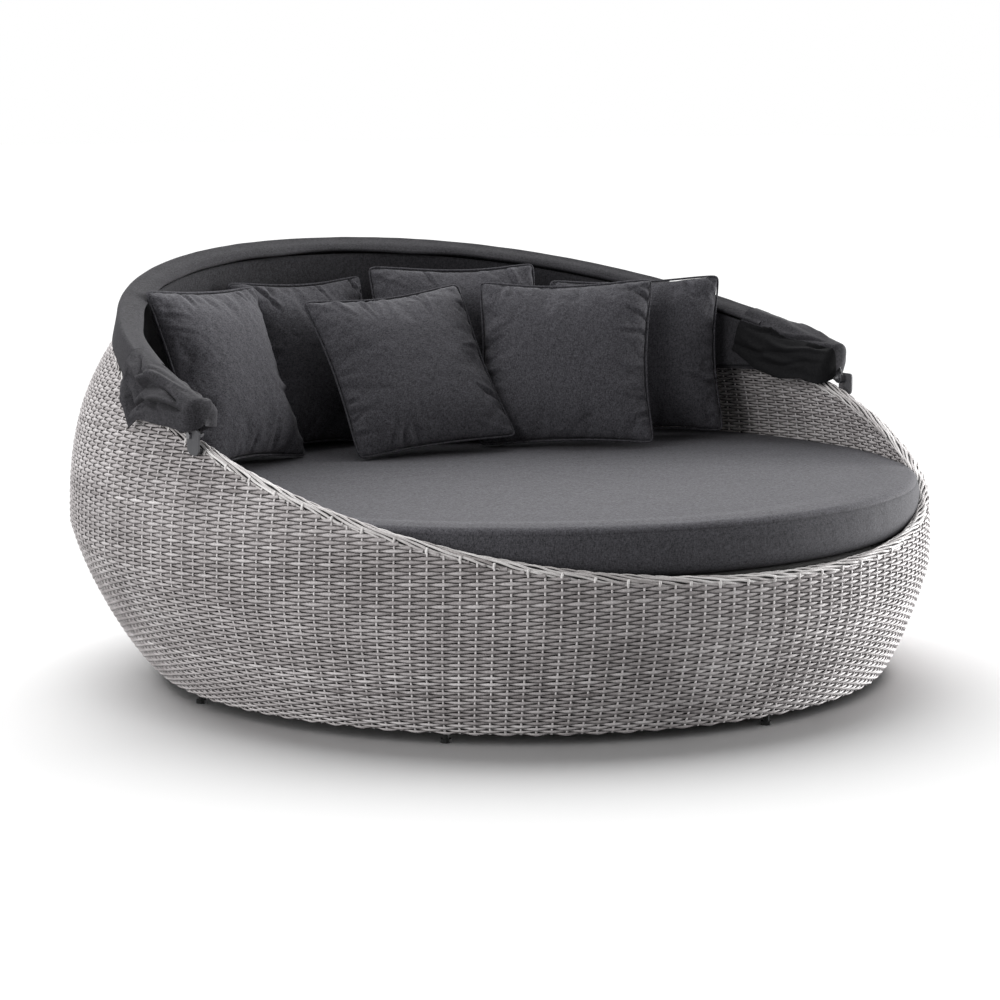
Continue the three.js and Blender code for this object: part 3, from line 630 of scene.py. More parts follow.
def rim_knots():
    """Each second stake is bent over the lowest strand of the border and shows as a short upright knot."""
    stations = STAKES // 2
    centre, along, outward, up, _, _ = rim_path(stations)
    points, faces, tones = [], [], []
    source = np.random.default_rng(8)
    sides = len(KNOT_SECTION)
    for i in range(stations):
        for t in np.linspace(-0.75, 0.25, KNOT_RINGS):
            swell = math.cos((t + 0.25) * 1.6) ** 0.5 if abs(t + 0.25) < 0.9 else 0.2
            radial = math.cos(t) * outward[i] + math.sin(t) * up[i]
            middle = centre[i] + (RIM_RADIUS + 0.0002) * radial
            points.append(np.array([
                middle + u * KNOT_WIDTH * swell * along[i] + v * KNOT_DEPTH * swell * radial
                for u, v in KNOT_SECTION
            ]))
        start = i * KNOT_RINGS * sides
        faces += [tube_faces(KNOT_RINGS, sides, start=start), end_caps(KNOT_RINGS, sides, start=start)]
        tones.append(np.full(KNOT_RINGS * sides, np.clip(source.normal(0.75, 0.12), 0, 1)))
    rim_piece("rim_knots", points, faces, tones)


rim_border()
rim_knots()

# Mattress
mattress_low, mattress_high = (np.array(v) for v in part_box("mattress"))
MATTRESS_RADIUS = (mattress_high[0] - mattress_low[0]) / 2
MATTRESS_HEIGHT = mattress_high[2] - mattress_low[2]
MATTRESS_CENTRE_Y = (mattress_high[1] + mattress_low[1]) / 2
MATTRESS_STEPS = 288
EDGE_ROUND = 0.017
MATTRESS_CROWN = 0.007
MATTRESS_SEAM_DROP = 0.011
MATTRESS_BULGE = 0.0065
MATTRESS_TUCK = 0.010
MATTRESS_SPREAD = 1.004
MATTRESS_SHIFT = 0.006
MATTRESS_PLUMP = 0.005
MATTRESS_PLUMP_AZIMUTH = math.radians(-130)
CROWN_SHARES = (0.96, 0.93, 0.9, 0.86, 0.8, 0.7, 0.6, 0.45, 0.3, 0.15, 0.0)


def mattress_profile(r, t, seam_z):
    """Radius and height, from the middle of the underside round the edge to the middle of the top."""
    e = EDGE_ROUND
    profile = [(0.0, 0.0), (0.5 * r, 0.0), (0.95 * r, 0.0)]
    profile += [(r - e + e * math.sin(a), e - e * math.cos(a)) for a in np.linspace(0.2, 1.45, 5)]
    profile += [(r + 0.001 * math.sin(math.pi * h), e + (t - 2 * e) * h) for h in np.linspace(0.1, 0.86, 6)]
    profile += [(r - 0.0005, seam_z - 0.005), (r - 0.0022, seam_z - 0.0012), (r - 0.0035, seam_z),
                (r - 0.0020, seam_z + 0.0012)]
    profile += [(r - 0.001 - e * (1 - math.cos(a)), seam_z + MATTRESS_SEAM_DROP * math.sin(a) + 0.002)
                for a in np.linspace(0.25, 1.5, 7)]
    profile += [(share * r, t + MATTRESS_CROWN * (1 - share**6) + 0.0022) for share in CROWN_SHARES]
    profile = np.array(profile)
    profile[:, 1] = np.minimum(profile[:, 1], MATTRESS_HEIGHT)
    return profile


def mattress():
    """The round pad, with a plump side and a slightly wavy seam round its top edge."""
    steps = MATTRESS_STEPS
    r, t = MATTRESS_RADIUS * MATTRESS_SPREAD, MATTRESS_HEIGHT - MATTRESS_CROWN
    seam_z = t - MATTRESS_SEAM_DROP
    profile = mattress_profile(r, t, seam_z)
    reach, level = profile[None, :, 0], profile[None, :, 1]
    on_side = reach > 0.9 * r
    azimuth = TURN * np.arange(steps) / steps
    wave = smooth_noise((steps, len(profile)), (22, 2.0), 3)
    fine = smooth_noise((steps, len(profile)), (90, 2.5), 4)
    near_edge = np.exp(-((reach / r - 1) ** 2) / 0.0008) * (level > 0.03)
    radius = reach + near_edge * (0.0014 * wave + 0.0007 * fine) - 0.001 * near_edge
    height = level - 0.001 * np.abs(wave) * (level > 0.09)
    plump = MATTRESS_PLUMP + MATTRESS_PLUMP * np.cos(azimuth - MATTRESS_PLUMP_AZIMUTH)
    height = height * (1 + plump[:, None] / MATTRESS_HEIGHT * on_side)
    belly = np.sin(math.pi * np.clip(level / t, 0, 1)) * on_side
    low = np.clip(1 - level / (0.45 * t), 0, 1) * on_side
    radius = radius + MATTRESS_BULGE * belly - MATTRESS_TUCK * low**1.5
    points = np.stack([MATTRESS_SHIFT + radius * np.cos(azimuth)[:, None],
                       MATTRESS_CENTRE_Y + radius * np.sin(azimuth)[:, None],
                       mattress_low[2] + height], -1).reshape(-1, 3)
    rows = len(profile)
    i = np.arange(steps)[:, None]
    j = np.arange(1, rows - 2)[None, :]
    n = (i + 1) % steps
    quads = np.stack([i * rows + j, n * rows + j, n * rows + j + 1, i * rows + j + 1], -1).reshape(-1, 4)
    shaded_side = (profile[quads[:, 0] % rows, 1] < seam_z) & (profile[quads[:, 0] % rows, 0] > 0.9 * r)
    i, n, middle = i.ravel() * rows, n.ravel() * rows, np.full(steps, len(points))
    caps = np.concatenate([np.stack([n + 1, i + 1, middle], -1),
                           np.stack([i + rows - 2, n + rows - 2, middle + 1], -1)])
    points = np.concatenate([points, [[0, MATTRESS_CENTRE_Y, mattress_low[2]],
                                      [0, MATTRESS_CENTRE_Y, mattress_low[2] + profile[-1, 1]]]])
    used, numbers = renumbering(len(points), quads, caps)
    faces = numbers[quads].tolist() + numbers[caps].tolist()
    piece = closed_object("mattress_pad", points[used], faces, MATTRESS_FABRIC)
    # The side's faces below the seam take the darker copy: painted shade.
    piece.data.materials.append(SHADED_SIDE_FABRIC)
    share = np.zeros(len(piece.data.polygons), np.int32)
    share[:len(quads)] = shaded_side
    piece.data.polygons.foreach_set("material_index", share)
    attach(piece, "base")
    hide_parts("mattress")


mattress()

# Scatter cushions: same poses as the solids. x, y, turned, leaning, rolled, height share, seed
CUSHION_HALF_SIZE = 0.220
CUSHION_HALF_THICKNESS = 0.069
MATTRESS_TOP = float(mattress_high[2])
CUSHION_PLACES = {
    "left_front": (-0.4465, 0.3617, 23, 22, -2.2, 1.0, 1),
    "left_rear": (-0.1105, 0.5647, 6, 15, 0, 0.97, 2),
    "centre_front": (0.0155, 0.2527, -11.5, 35.5, 5, 1.02, 3),
    "centre_rear": (0.2435, 0.4507, -23.5, 15.5, 0.5, 1.03, 4),
    "right_front": (0.3555, 0.1887, -41, 21, 1, 0.975, 5),
    "right_rear": (0.6365, 0.2387, -35, 5.5, 1.4, 0.915, 6),
}
CUSHION_CELLS = 48
CUSHION_DRAW = 0.078
CUSHION_CORNER = 0.030
CUSHION_WAVE = 0.010
CREASES_PER_SIDE = 10
CREASE_LENGTH = (0.16, 0.46)
CREASE_WIDTH = (0.018, 0.034)
CREASE_SLANT = 0.6
CREASE_DEPTH = (0.0040, 0.0105)
PUCKER_DEPTH = 0.0022
PUCKER_REACH = 0.09
PIPING_RADIUS = 0.0026
PIPING_SIDES = 8
FILL_FRAMES = 24


def cushion_grid(cells):
    """Two square faces that share their border, in units from -1 to 1, and the border's points in order."""
    line = np.linspace(-1, 1, cells + 1)
    u, v = np.meshgrid(line, line, indexing="ij")
    count = (cells + 1) ** 2
    number = np.arange(count).reshape(cells + 1, cells + 1)
    back = number + count
    edge = np.zeros_like(number, bool)
    edge[[0, -1], :] = edge[:, [0, -1]] = True
    back[edge] = number[edge]
    front_quads, back_quads = (
        np.stack([grid[:-1, :-1], grid[1:, :-1], grid[1:, 1:], grid[:-1, 1:]], -1).reshape(-1, 4)
        for grid in (number, back)
    )
    quads = np.concatenate([front_quads, back_quads[:, ::-1]])
    used, numbers = renumbering(2 * count, quads)
    border = np.concatenate([number[:-1, 0], number[-1, :-1], number[:0:-1, -1], number[0, :0:-1]])
    flat = np.concatenate([np.stack([u.ravel(), v.ravel()], -1)] * 2)[used]
    side = np.concatenate([np.ones(count), -np.ones(count)])[used]
    side[numbers[border]] = 0
    return flat, side, numbers[quads], numbers[border]


def crowned(flat, side):
    """A filled square in units of its half sizes: seams drawn in between rounded corners."""
    u, v = flat[:, 0], flat[:, 1]
    fill = np.clip((1 - u * u) * (1 - v * v), 0, 1) ** 0.42
    corner = CUSHION_CORNER * np.abs(u * v) ** 7
    return np.stack([
        u * (1 - CUSHION_DRAW * (1 - v * v) - corner), side * fill,
        v * (1 - CUSHION_DRAW * (1 - u * u) - corner)
    ], -1)


def refined(local, quads):
    """The same skin with each face split in four and smoothed."""
    piece = mesh_object("cushion_work", local, quads, FABRIC)
    smooth = piece.modifiers.new("smooth", "SUBSURF")
    smooth.levels = smooth.render_levels = 1
    mesh = piece.evaluated_get(bpy.context.evaluated_depsgraph_get()).data
    points = read(mesh.vertices, "co", 3)
    corners = read(mesh.loops, "vertex_index", 1, np.int32)
    bpy.data.objects.remove(piece)
    return points, corners.reshape(-1, 4)


def creased(local, tall, seed):
    """Puckered seams, and short creases that run in from them: a valley with a soft ridge beside it."""
    source = np.random.default_rng(seed)
    u, v = local[:, 0] / CUSHION_HALF_SIZE, local[:, 2] / (CUSHION_HALF_SIZE * tall)
    side = np.sign(local[:, 1])
    push = np.zeros(len(local))
    for across, along in ((u, v), (-u, v), (v, u), (-v, u)):
        inward = 1 - CUSHION_DRAW * (1 - along**2) - across
        for _ in range(CREASES_PER_SIDE):
            place = source.choice([-1, 1]) * source.uniform(0.1, 0.92)
            length, width = source.uniform(*CREASE_LENGTH), source.uniform(*CREASE_WIDTH)
            slant, depth = source.uniform(-CREASE_SLANT, CREASE_SLANT), source.uniform(*CREASE_DEPTH)
            face = source.choice([-1, 1])
            fade = np.clip(inward / 0.05, 0, 1) * np.clip(1 - inward / length, 0, 1) ** 0.8
            offset = along - place - slant * inward + 0.25 * slant * inward**2
            valley = np.exp(-((offset / width) ** 2))
            ridge = 0.6 * np.exp(-(((offset - 2.0 * width) / (1.4 * width)) ** 2))
            push += depth * fade * (ridge - valley) * (side == face)
        pucker = np.sin(along * source.uniform(22, 30) + 2.5 * np.sin(5 * along + source.uniform(0, TURN)))
        near = np.clip(inward / 0.03, 0, 1)
        push += PUCKER_DEPTH * pucker * near * np.exp(-np.maximum(inward, 0) / PUCKER_REACH)
    local = local.copy()
    local[:, 1] += side * push
    return local


def inflated(local, quads, border, seed):
    """The two panels, cut larger than their seam and filled until they crease: a cloth simulation."""
    source = np.random.default_rng(seed)
    start = local + 0.0010 * source.standard_normal(local.shape)
    start[border] = local[border]
    piece = closed_object("cushion_work", start, quads, FABRIC)
    bpy.context.view_layer.objects.active = piece
    seam = piece.vertex_groups.new(name="seam")
    seam.add([int(k) for k in border], 1.0, "REPLACE")
    cloth = piece.modifiers.new("fill", "CLOTH")
    settings = cloth.settings
    settings.quality = 7
    settings.mass = 0.25
    settings.vertex_group_mass = "seam"
    settings.tension_stiffness = settings.compression_stiffness = settings.shear_stiffness = 18
    settings.bending_stiffness = 0.12
    settings.shrink_min = -0.045
    settings.use_pressure = True
    settings.uniform_pressure_force = 2.2
    settings.effector_weights.gravity = 0
    cloth.collision_settings.use_collision = False
    cloth.point_cache.frame_start, cloth.point_cache.frame_end = 1, 30
    for number in range(1, FILL_FRAMES + 1):
        bpy.context.scene.frame_set(number)
    held = piece.evaluated_get(bpy.context.evaluated_depsgraph_get())
    result = read(held.data.vertices, "co", 3)
    bpy.context.scene.frame_set(1)
    bpy.data.objects.remove(piece)
    return result


def ring_tube(name, loop, radius, sides, look):
    """A round tube along a closed loop of points."""
    along = unit(np.roll(loop, -1, 0) - np.roll(loop, 1, 0))
    normal = np.cross(along[0], (0.3, 0.9, 0.2))
    angles = TURN * np.arange(sides) / sides
    c, s = np.cos(angles)[:, None], np.sin(angles)[:, None]
    points = []
    for place, direction in zip(loop, along):
        normal = normal - np.dot(normal, direction) * direction
        normal /= np.linalg.norm(normal)
        points.append(place + radius * (c * normal + s * np.cross(direction, normal)))
    return closed_object(name, np.concatenate(points), tube_faces(len(loop), sides, True), look)


def cushion(name, x, y, yaw, lean, roll, tall, seed):
    """A filled cushion with its piping, leaning in its place on the mattress."""
    flat, side, quads, border = cushion_grid(CUSHION_CELLS)
    source = np.random.default_rng(seed + 50)
    local = crowned(flat, side)
    phase = source.uniform(0, TURN, 2)
    local[:, 0] += CUSHION_WAVE * np.sin(2.6 * local[:, 2] + phase[0]) * np.abs(local[:, 0])
    local[:, 2] += CUSHION_WAVE * np.sin(2.9 * local[:, 0] + phase[1]) * np.abs(local[:, 2])
    local *= np.array([CUSHION_HALF_SIZE, CUSHION_HALF_THICKNESS, CUSHION_HALF_SIZE * tall])
    local = inflated(local, quads, border, seed)
    local[:, 1] *= CUSHION_HALF_THICKNESS / np.abs(local[:, 1]).max()
    seam = local[border]
    local, quads = refined(local, quads)
    local = creased(local, tall, seed + 80)
    yaw, lean, roll = (math.radians(v) for v in (yaw, lean, roll))
    base = MATTRESS_TOP + 0.0004 + CUSHION_HALF_SIZE * abs(math.sin(roll)) * math.cos(lean)
    place = np.array(
        Matrix.Translation((x, y, base))
        @ Matrix.Rotation(yaw, 4, "Z")
        @ Matrix.Rotation(-lean, 4, "X")
        @ Matrix.Rotation(-roll, 4, "Y")
        @ Matrix.Translation((0, 0, CUSHION_HALF_SIZE * tall))
    )
    turn, shift = place[:3, :3], place[:3, 3]
    piece = closed_object(f"scatter_cushion_{name}", local @ turn.T + shift, quads, FABRIC)
    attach(piece, "base")
    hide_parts(f"cushion_{name}")
    loop = seam @ turn.T + shift
    for _ in range(2):
        loop = (loop * 2 + np.roll(loop, 1, 0) + np.roll(loop, -1, 0)) / 4
    cord = ring_tube(f"cushion_piping_{name}", loop, PIPING_RADIUS, PIPING_SIDES, PIPING)
    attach(cord, "base")
    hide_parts(f"cushion_{name}")


for cushion_name, values in CUSHION_PLACES.items():
    cushion(cushion_name, *values)

# Canopy geometry: hoops in parallel sloping planes stacked on the rear of the rim
FOLD_ANGLE = math.atan(FOLD_SLOPE)
ACROSS = np.array([1, 0, 0])
ALONG_FOLD = np.array([0, math.cos(FOLD_ANGLE), math.sin(FOLD_ANGLE)])
UP_FROM_FOLD = np.array([0, -math.sin(FOLD_ANGLE), math.cos(FOLD_ANGLE)])
pivot_azimuth = math.asin(PIVOT_Y / BED_RADIUS)
pivot_radius = float(wall_radius(pivot_azimuth, PIVOT_RIM_HEIGHT))
BOW_HALF_WIDTH = pivot_radius * math.cos(pivot_azimuth) + BOW_OVERHANG
rear_seam = float(rim_at(np.array([math.pi / 2]))[0][0])
rim_rear_y = float(wall_radius(math.pi / 2, rear_seam))
BOW_REACH = (rim_rear_y - BOW_REAR_INSET - PIVOT_Y) / math.cos(FOLD_ANGLE)
PIVOT = np.array([0, PIVOT_Y, PIVOT_RIM_HEIGHT + PIVOT_RISE])
FIRST_LIFT = BOW_TUBE_RADIUS + 0.0004 - PIVOT_RISE * math.cos(FOLD_ANGLE)
RIM_LEVEL = -PIVOT_RISE * math.cos(FOLD_ANGLE) - 0.003
HOOP_STEP = 0.01
BLEND_PLACE = 0.3

# Canopy cloth
CLOTH = 0.0022
HOOD_STEPS = 280
HOOD_REACH = BOW_TUBE_RADIUS + 0.0025 + 0.0015
HOOD_FLAP = 0.050
HOOD_CREST = 0.0045
HOOD_EDGE_ROUND = 0.006
HOOD_LIP = 0.030
HEM_WAVE = 0.0065
WEB_STEPS, WEB_ROWS = 200, 10
DRAPE_STEPS, DRAPE_ROWS = 420, 22
PLEAT_DEPTH = 0.0042
PANELS = (("base", "rear_bow"), ("rear_bow", "middle_bow"), ("middle_bow", "front_bow"))
TOP_LEVEL = len(PANELS) - 1
BUNCH_END = 0.290


def bow_lift(level):
    """Height of a folded bow's centre over the plane through the pivots."""
    return FIRST_LIFT + level * BOW_PITCH


def fold_point(x, s, n):
    """Points from their place across the bed, along the folded canopy and up from it."""
    x, s, n = (v[..., None] for v in np.broadcast_arrays(np.asarray(x, float), s, n))
    return PIVOT + x * ACROSS + s * ALONG_FOLD + n * UP_FROM_FOLD


def hoop_angles(behind, steps):
    """Angles round a bow, between its two points at a distance behind the pivots."""
    start = math.asin((behind / BOW_REACH) ** (BOW_CURVE / 2))
    return np.linspace(start, math.pi - start, steps)


def hoop_xs(angle):
    power = 2 / BOW_CURVE
    c, s = np.cos(angle), np.sin(angle)
    return (BOW_HALF_WIDTH * np.sign(c) * np.abs(c) ** power, BOW_REACH * np.sign(s) * np.abs(s) ** power)


def hoop_frames(angles, lift):
    """Centres of a folded bow, its outward directions and the distances behind the pivots."""
    x, s = hoop_xs(angles)
    ax, as_ = hoop_xs(angles - HOOP_STEP)
    bx, bs = hoop_xs(angles + HOOP_STEP)
    return fold_point(x, s, lift), unit(fold_point(bs - as_, ax - bx, 0) - PIVOT), s


def thick_strip(name, lines, thickness, look):
    """A closed strip of cloth: lines[i, j] are its middle surface's points, along i and across j."""
    normal = unit(np.cross(np.gradient(lines, axis=0), np.gradient(lines, axis=1)))
    front, back = lines + normal * thickness / 2, lines - normal * thickness / 2
    ring = np.concatenate([front, back[:, ::-1]], 1)
    rows, count = ring.shape[:2]
    j = np.arange(lines.shape[1] - 1)
    cap = np.stack([j, j + 1, count - 2 - j, count - 1 - j], -1)
    last = cap[:, ::-1] + (rows - 1) * count
    faces = np.concatenate([tube_faces(rows, count), cap, last])
    return closed_object(name, ring.reshape(-1, 3), faces, look)


def slow_wave(t, low, high, seed, terms=8):
    source = np.random.default_rng(seed)
    return sum(source.uniform(0.4, 1) * np.sin(TURN * f * t + source.uniform(0, TURN))
               for f in source.uniform(low, high, terms)) * 1.6 / terms


def hood():
    """Band over the uppermost bow: a flat top, a flap outside the folded stack and a loose inner hem."""
    centre, outward, _ = hoop_frames(hoop_angles(BUNCH_END - 0.03, HOOD_STEPS), bow_lift(TOP_LEVEL))
    t = np.linspace(0, 1, HOOD_STEPS)
    wave, ripple = slow_wave(t, 3, 9, 17), slow_wave(t, 14, 34, 18)
    hem = slow_wave(t, 4, 13, 19) + 0.9 * slow_wave(t, 9, 24, 23) ** 3
    r, top, e = HOOD_REACH, HOOD_REACH + HOOD_CREST, HOOD_EDGE_ROUND
    lip = 2 * r + HOOD_LIP - 0.006
    columns = []  # outward and upward places, from the flap's hem over the top to the inner hem
    for d in np.linspace(1, 0, 10):
        out = r + 0.002 * d + 0.0030 * d * wave + 0.0008 * d * ripple
        columns.append((out, -0.002 - HOOD_FLAP * d - 0.003 * d * hem))
    for a in (math.radians(turn) for turn in np.linspace(10, 80, 6)):
        columns.append((math.cos(a) * e + r - e + 0 * t, (top - e) + e * math.sin(a) + 0.0006 * ripple))
    for d in np.linspace(0.08, 1, 14):
        sag = 0.0012 * math.sin(TURN * d) + 0.0010 * ripple * math.sin(math.pi * d)
        columns.append((r - 0.004 - lip * d - HEM_WAVE * d**3 * hem,
                        top - 0.0005 - 0.017 * d**1.6 - sag - 0.0035 * d**3 * wave))
    for d in (0.35, 1.0):
        columns.append((r - 0.004 - lip + 0.004 * d - HEM_WAVE * hem,
                        top - 0.0175 - 0.0045 * d - 0.0035 * wave))
    lines = np.stack([
        centre + out[:, None] * outward + up[:, None] * UP_FROM_FOLD for out, up in columns
    ], 1)
    piece = thick_strip("canopy_cover", lines, CLOTH, CANOPY)
    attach(piece, "front_bow")
    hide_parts("canopy_hood")


def strip(level, upper):
    """Cloth between one bow and the next, or the rim, in the folded canopy."""
    angles = hoop_angles(0.07, WEB_STEPS)
    low = bow_lift(level - 1) if level else RIM_LEVEL
    high = bow_lift(level)
    lines = []
    for d in (k / WEB_ROWS for k in range(WEB_ROWS + 1)):
        centre, outward, _ = hoop_frames(angles, low + (high - low) * d)
        line = centre + (BOW_TUBE_RADIUS + 0.0012 - 0.003 * math.sin(math.pi * d)) * outward
        if level == 0:
            azimuth = np.arctan2(line[:, 1], line[:, 0])
            _, _, (radius, height) = rim_at(azimuth)
            on_rim = in_space(azimuth, radius - 0.5 * RIM_RADIUS, height + 0.8 * RIM_RADIUS)
            line = on_rim + (line - on_rim) * d
        lines.append(line)
    lines = np.stack(lines, 1)
    piece = thick_strip(f"canopy_web_{upper}", lines, CLOTH * 0.5, CANOPY)
    if level == 0:
        low = float(((lines[:, 0] - PIVOT) @ UP_FROM_FOLD).max()) + CLOTH / 2
    tuple(fold_point(0, BLEND_PLACE, low))
    tuple(fold_point(0, BLEND_PLACE, high))
    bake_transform(piece)
    return piece


def curtain(level, body, node):
    """Loose cloth that hangs inside the rim from its bow, in upright pleats."""
    uppermost = level == TOP_LEVEL
    centre, outward, behind = hoop_frames(hoop_angles(0.12, DRAPE_STEPS), bow_lift(level))
    _, _, (rim_radius, _) = rim_at(np.arctan2(centre[:, 1], centre[:, 0]))
    over = np.hypot(centre[:, 0], centre[:, 1]) - (rim_radius - RIM_RADIUS) + 0.006
    deep = np.maximum(over, BOW_TUBE_RADIUS + 0.008) + 0.0065 * level
    drop = 0.016 + 0.30 * behind + 0.018 * (level - TOP_LEVEL)
    t = np.linspace(0, 1, DRAPE_STEPS)
    pleat = slow_wave(t, 5, 16, 40 + level) + 0.45 * slow_wave(t, 20, 46, 60 + level)
    top = BOW_TUBE_RADIUS + (0.020 if uppermost else 0.002)
    lines = []
    for d in (k / DRAPE_ROWS for k in range(DRAPE_ROWS + 1)):
        depth = top + (deep - top) * min(1, d * 4) ** 0.7
        out = depth + PLEAT_DEPTH * min(1, d * 2.2) * pleat + 0.004 * d
        z = -(0.010 if uppermost else 0.0) - d * drop
        lines.append(centre + out[:, None] * -outward + z[:, None] * np.array([0, 0, 1]))
    lines = np.stack(lines, 1)
    piece = thick_strip(f"canopy_drape_{body}", lines, CLOTH, CANOPY)
    anchor = tuple(fold_point(0, BLEND_PLACE, bow_lift(level)))
    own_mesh(piece)
    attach(piece, body)
    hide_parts(node)


hood()
for panel_level, (below, panel_body) in enumerate(PANELS):
    web_piece = strip(panel_level, panel_body)
    curtain(panel_level, panel_body, f"canopy_panel_{panel_body[:-4]}")

# Folds of the gathered cloth: (from, to) as shares along the bunch and across it, width and depth.
# Along: 0 at the pivot and 1 at the rear. Across: 0 at the outer hem, 0.5 on top, 1 at the inner hem.
# A negative depth is a ridge.
OUTER_FOLDS = (
    ((0.90, 0.19), (0.40, 0.335), 0.050, 0.022),
    ((0.95, 0.285), (0.28, 0.425), 0.026, -0.008),
    ((0.86, 0.135), (0.34, 0.125), 0.020, 0.014),
    ((0.58, 0.105), (0.14, 0.225), 0.030, 0.020),
    ((0.44, 0.315), (0.18, 0.285), 0.016, 0.012),
    ((0.52, 0.175), (0.20, 0.262), 0.018, -0.008),
    ((0.98, 0.07), (0.58, 0.06), 0.030, -0.008),
    ((0.86, 0.41), (0.62, 0.36), 0.014, 0.007),
)
INNER_FOLDS = (
    ((0.86, 0.70), (0.22, 0.565), 0.016, 0.010),
    ((0.27, 0.640), (0.08, 0.600), 0.018, 0.010),
    ((0.80, 0.655), (0.34, 0.575), 0.020, -0.004),
    ((0.62, 0.735), (0.08, 0.665), 0.020, -0.006),
    ((1.00, 0.93), (0.38, 0.76), 0.024, 0.007),
    ((0.92, 0.82), (0.30, 0.86), 0.030, -0.004),
    ((0.70, 0.93), (0.12, 0.80), 0.024, 0.005),
)

BUNCH_STEPS, BUNCH_POINTS = 130, 150
BUNCH_SMOOTHINGS = 26
BUNCH_BLUNT = 0.07
BUNCH_FIRST = {"right": 0.010, "left": -0.020}
BUNCH_NOSE = {"right": -0.002, "left": 0.028}
BUNCH_TIP_DROP = {"right": 0.036, "left": 0.0}
BUNCH_TIP = 0.075
DARK_FLAP_FROM = {"right": -1.0, "left": 0.25}
FOLD_FADE = 0.12
# Heights of the hems over the fold plane and the outward flare, each at distances behind the pivots
OUTER_HEM = ((0.0, 0.056, 0.13, 0.18, 0.215, 0.25, 0.30),
             (0.010, 0.0, -0.018, -0.030, -0.064, -0.034, -0.014))
INNER_HEM = ((0.0, 0.06, 0.14, 0.22, 0.30), (0.018, -0.020, -0.048, -0.052, -0.030))
FLARE = ((0.0, 0.15, 0.21, 0.275, 0.31), (0.0, 0.0, 0.008, 0.020, 0.006))


def fold_height(f, u, folds):
    """Displacement from a list of folds at a share along and an array of shares across."""
    height = np.zeros_like(u)
    for (f0, u0), (f1, u1), width, depth in folds:
        share = (f - f0) / (f1 - f0)
        if not -FOLD_FADE < share < 1 + FOLD_FADE:
            continue
        fade = math.sin(math.pi * min(1, max(0, (share + FOLD_FADE) / (1 + 2 * FOLD_FADE)))) ** 0.6
        line = u0 + (u1 - u0) * share + 0.012 * math.sin(5 * share)
        height -= depth * fade * np.exp(-(((u - line) / width) ** 2))
    return height


def bunch_section(f, u, side, flare, low_out, low_in):
    """Outward and upward places across the bunch: a smooth path over the bows' ends, with its folds."""
    crest = bow_lift(TOP_LEVEL) + HOOD_REACH + HOOD_CREST + CLOTH + 0.0008
    outer = 0.026 + 0.008 * math.sin(math.pi * min(1, f * 1.1))
    inner = -0.046 - 0.010 * math.sin(math.pi * f)
    path = np.array([
        (outer + flare, low_out), (outer + 0.006, low_out * 0.45 + crest * 0.55),
        (outer - 0.002, crest - 0.010), (outer * 0.5, crest), (-0.008, crest + 0.001),
        (-0.026, crest - 0.004), (inner, crest * 0.62 + low_in * 0.38), (inner - 0.004, low_in)
    ])
    lengths = np.concatenate([[0], np.cumsum(np.hypot(*np.diff(path, axis=0).T))])
    lengths /= lengths[-1]
    px, pn = np.interp(u, lengths, path[:, 0]), np.interp(u, lengths, path[:, 1])
    for _ in range(BUNCH_SMOOTHINGS):
        px[1:-1] = (px[:-2] + 2 * px[1:-1] + px[2:]) / 4
        pn[1:-1] = (pn[:-2] + 2 * pn[1:-1] + pn[2:]) / 4
    height = fold_height(f, u, OUTER_FOLDS) + fold_height(f, u, INNER_FOLDS)
    height += 0.0012 * np.sin(9 * u * TURN + 4 * f + side) * math.sin(math.pi * f)
    dx, dn = np.gradient(px), np.gradient(pn)
    length = np.maximum(np.hypot(dx, dn), 1e-6)
    return px + height * dn / length, pn - height * dx / length


def side_bunch(side, name):
    """Gathered cloth over the ends of the bows, blunt at the pivot, with its folds running to the rear."""
    steps, across = BUNCH_STEPS, BUNCH_POINTS
    f, u = np.linspace(0, 1, steps), np.linspace(0, 1, across)
    first = BUNCH_FIRST[name]
    s = first + (BUNCH_END + 0.016 - first) * f
    safe = np.clip(np.maximum(s, 1e-6) / BOW_REACH, 0, 1)
    x = np.where(s > 0.001, hoop_xs(np.arcsin(safe ** (BOW_CURVE / 2)))[0], BOW_HALF_WIDTH)
    tip_drop = BUNCH_TIP_DROP[name] * np.clip(1 - s / BUNCH_TIP, 0, 1)
    outer_hem, inner_hem = np.interp(s, *OUTER_HEM) - tip_drop, np.interp(s, *INNER_HEM) - tip_drop
    flare = np.interp(s, *FLARE)
    lines = np.zeros((steps, across, 3))
    for i in range(steps):
        px, pn = bunch_section(f[i], u, side, flare[i], outer_hem[i], inner_hem[i])
        close = max(0.05, math.sqrt(1 - max(0, 1 - f[i] / BUNCH_BLUNT) ** 2))
        px, pn = px * close - 0.008 * (1 - close), pn * close + BUNCH_NOSE[name] * (1 - close)
        lines[i] = fold_point(x[i] + px, np.full(across, s[i]), pn)
    lines[..., 0] *= side
    piece = thick_strip(f"canopy_gather_{name}", lines, CLOTH, CANOPY)
    # The inner flap's faces take a much darker cloth
    piece.data.materials.append(CANOPY_DARK_FLAP)
    column = np.arange((steps - 1) * 2 * across) % (2 * across)
    row = np.arange(len(column)) // (2 * across) / steps
    edge = (0.57 + 0.10 * row) * across
    dark_flap_faces = np.zeros(len(piece.data.polygons), np.int32)
    dark_flap_faces[:len(column)] = (column > edge) & (column < 2 * across - edge) & (row > DARK_FLAP_FROM[name])
    piece.data.polygons.foreach_set("material_index", dark_flap_faces)
    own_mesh(piece)
    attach(piece, "front_bow")
    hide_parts(f"canopy_side_{name}")


side_bunch(1, "right")
side_bunch(-1, "left")

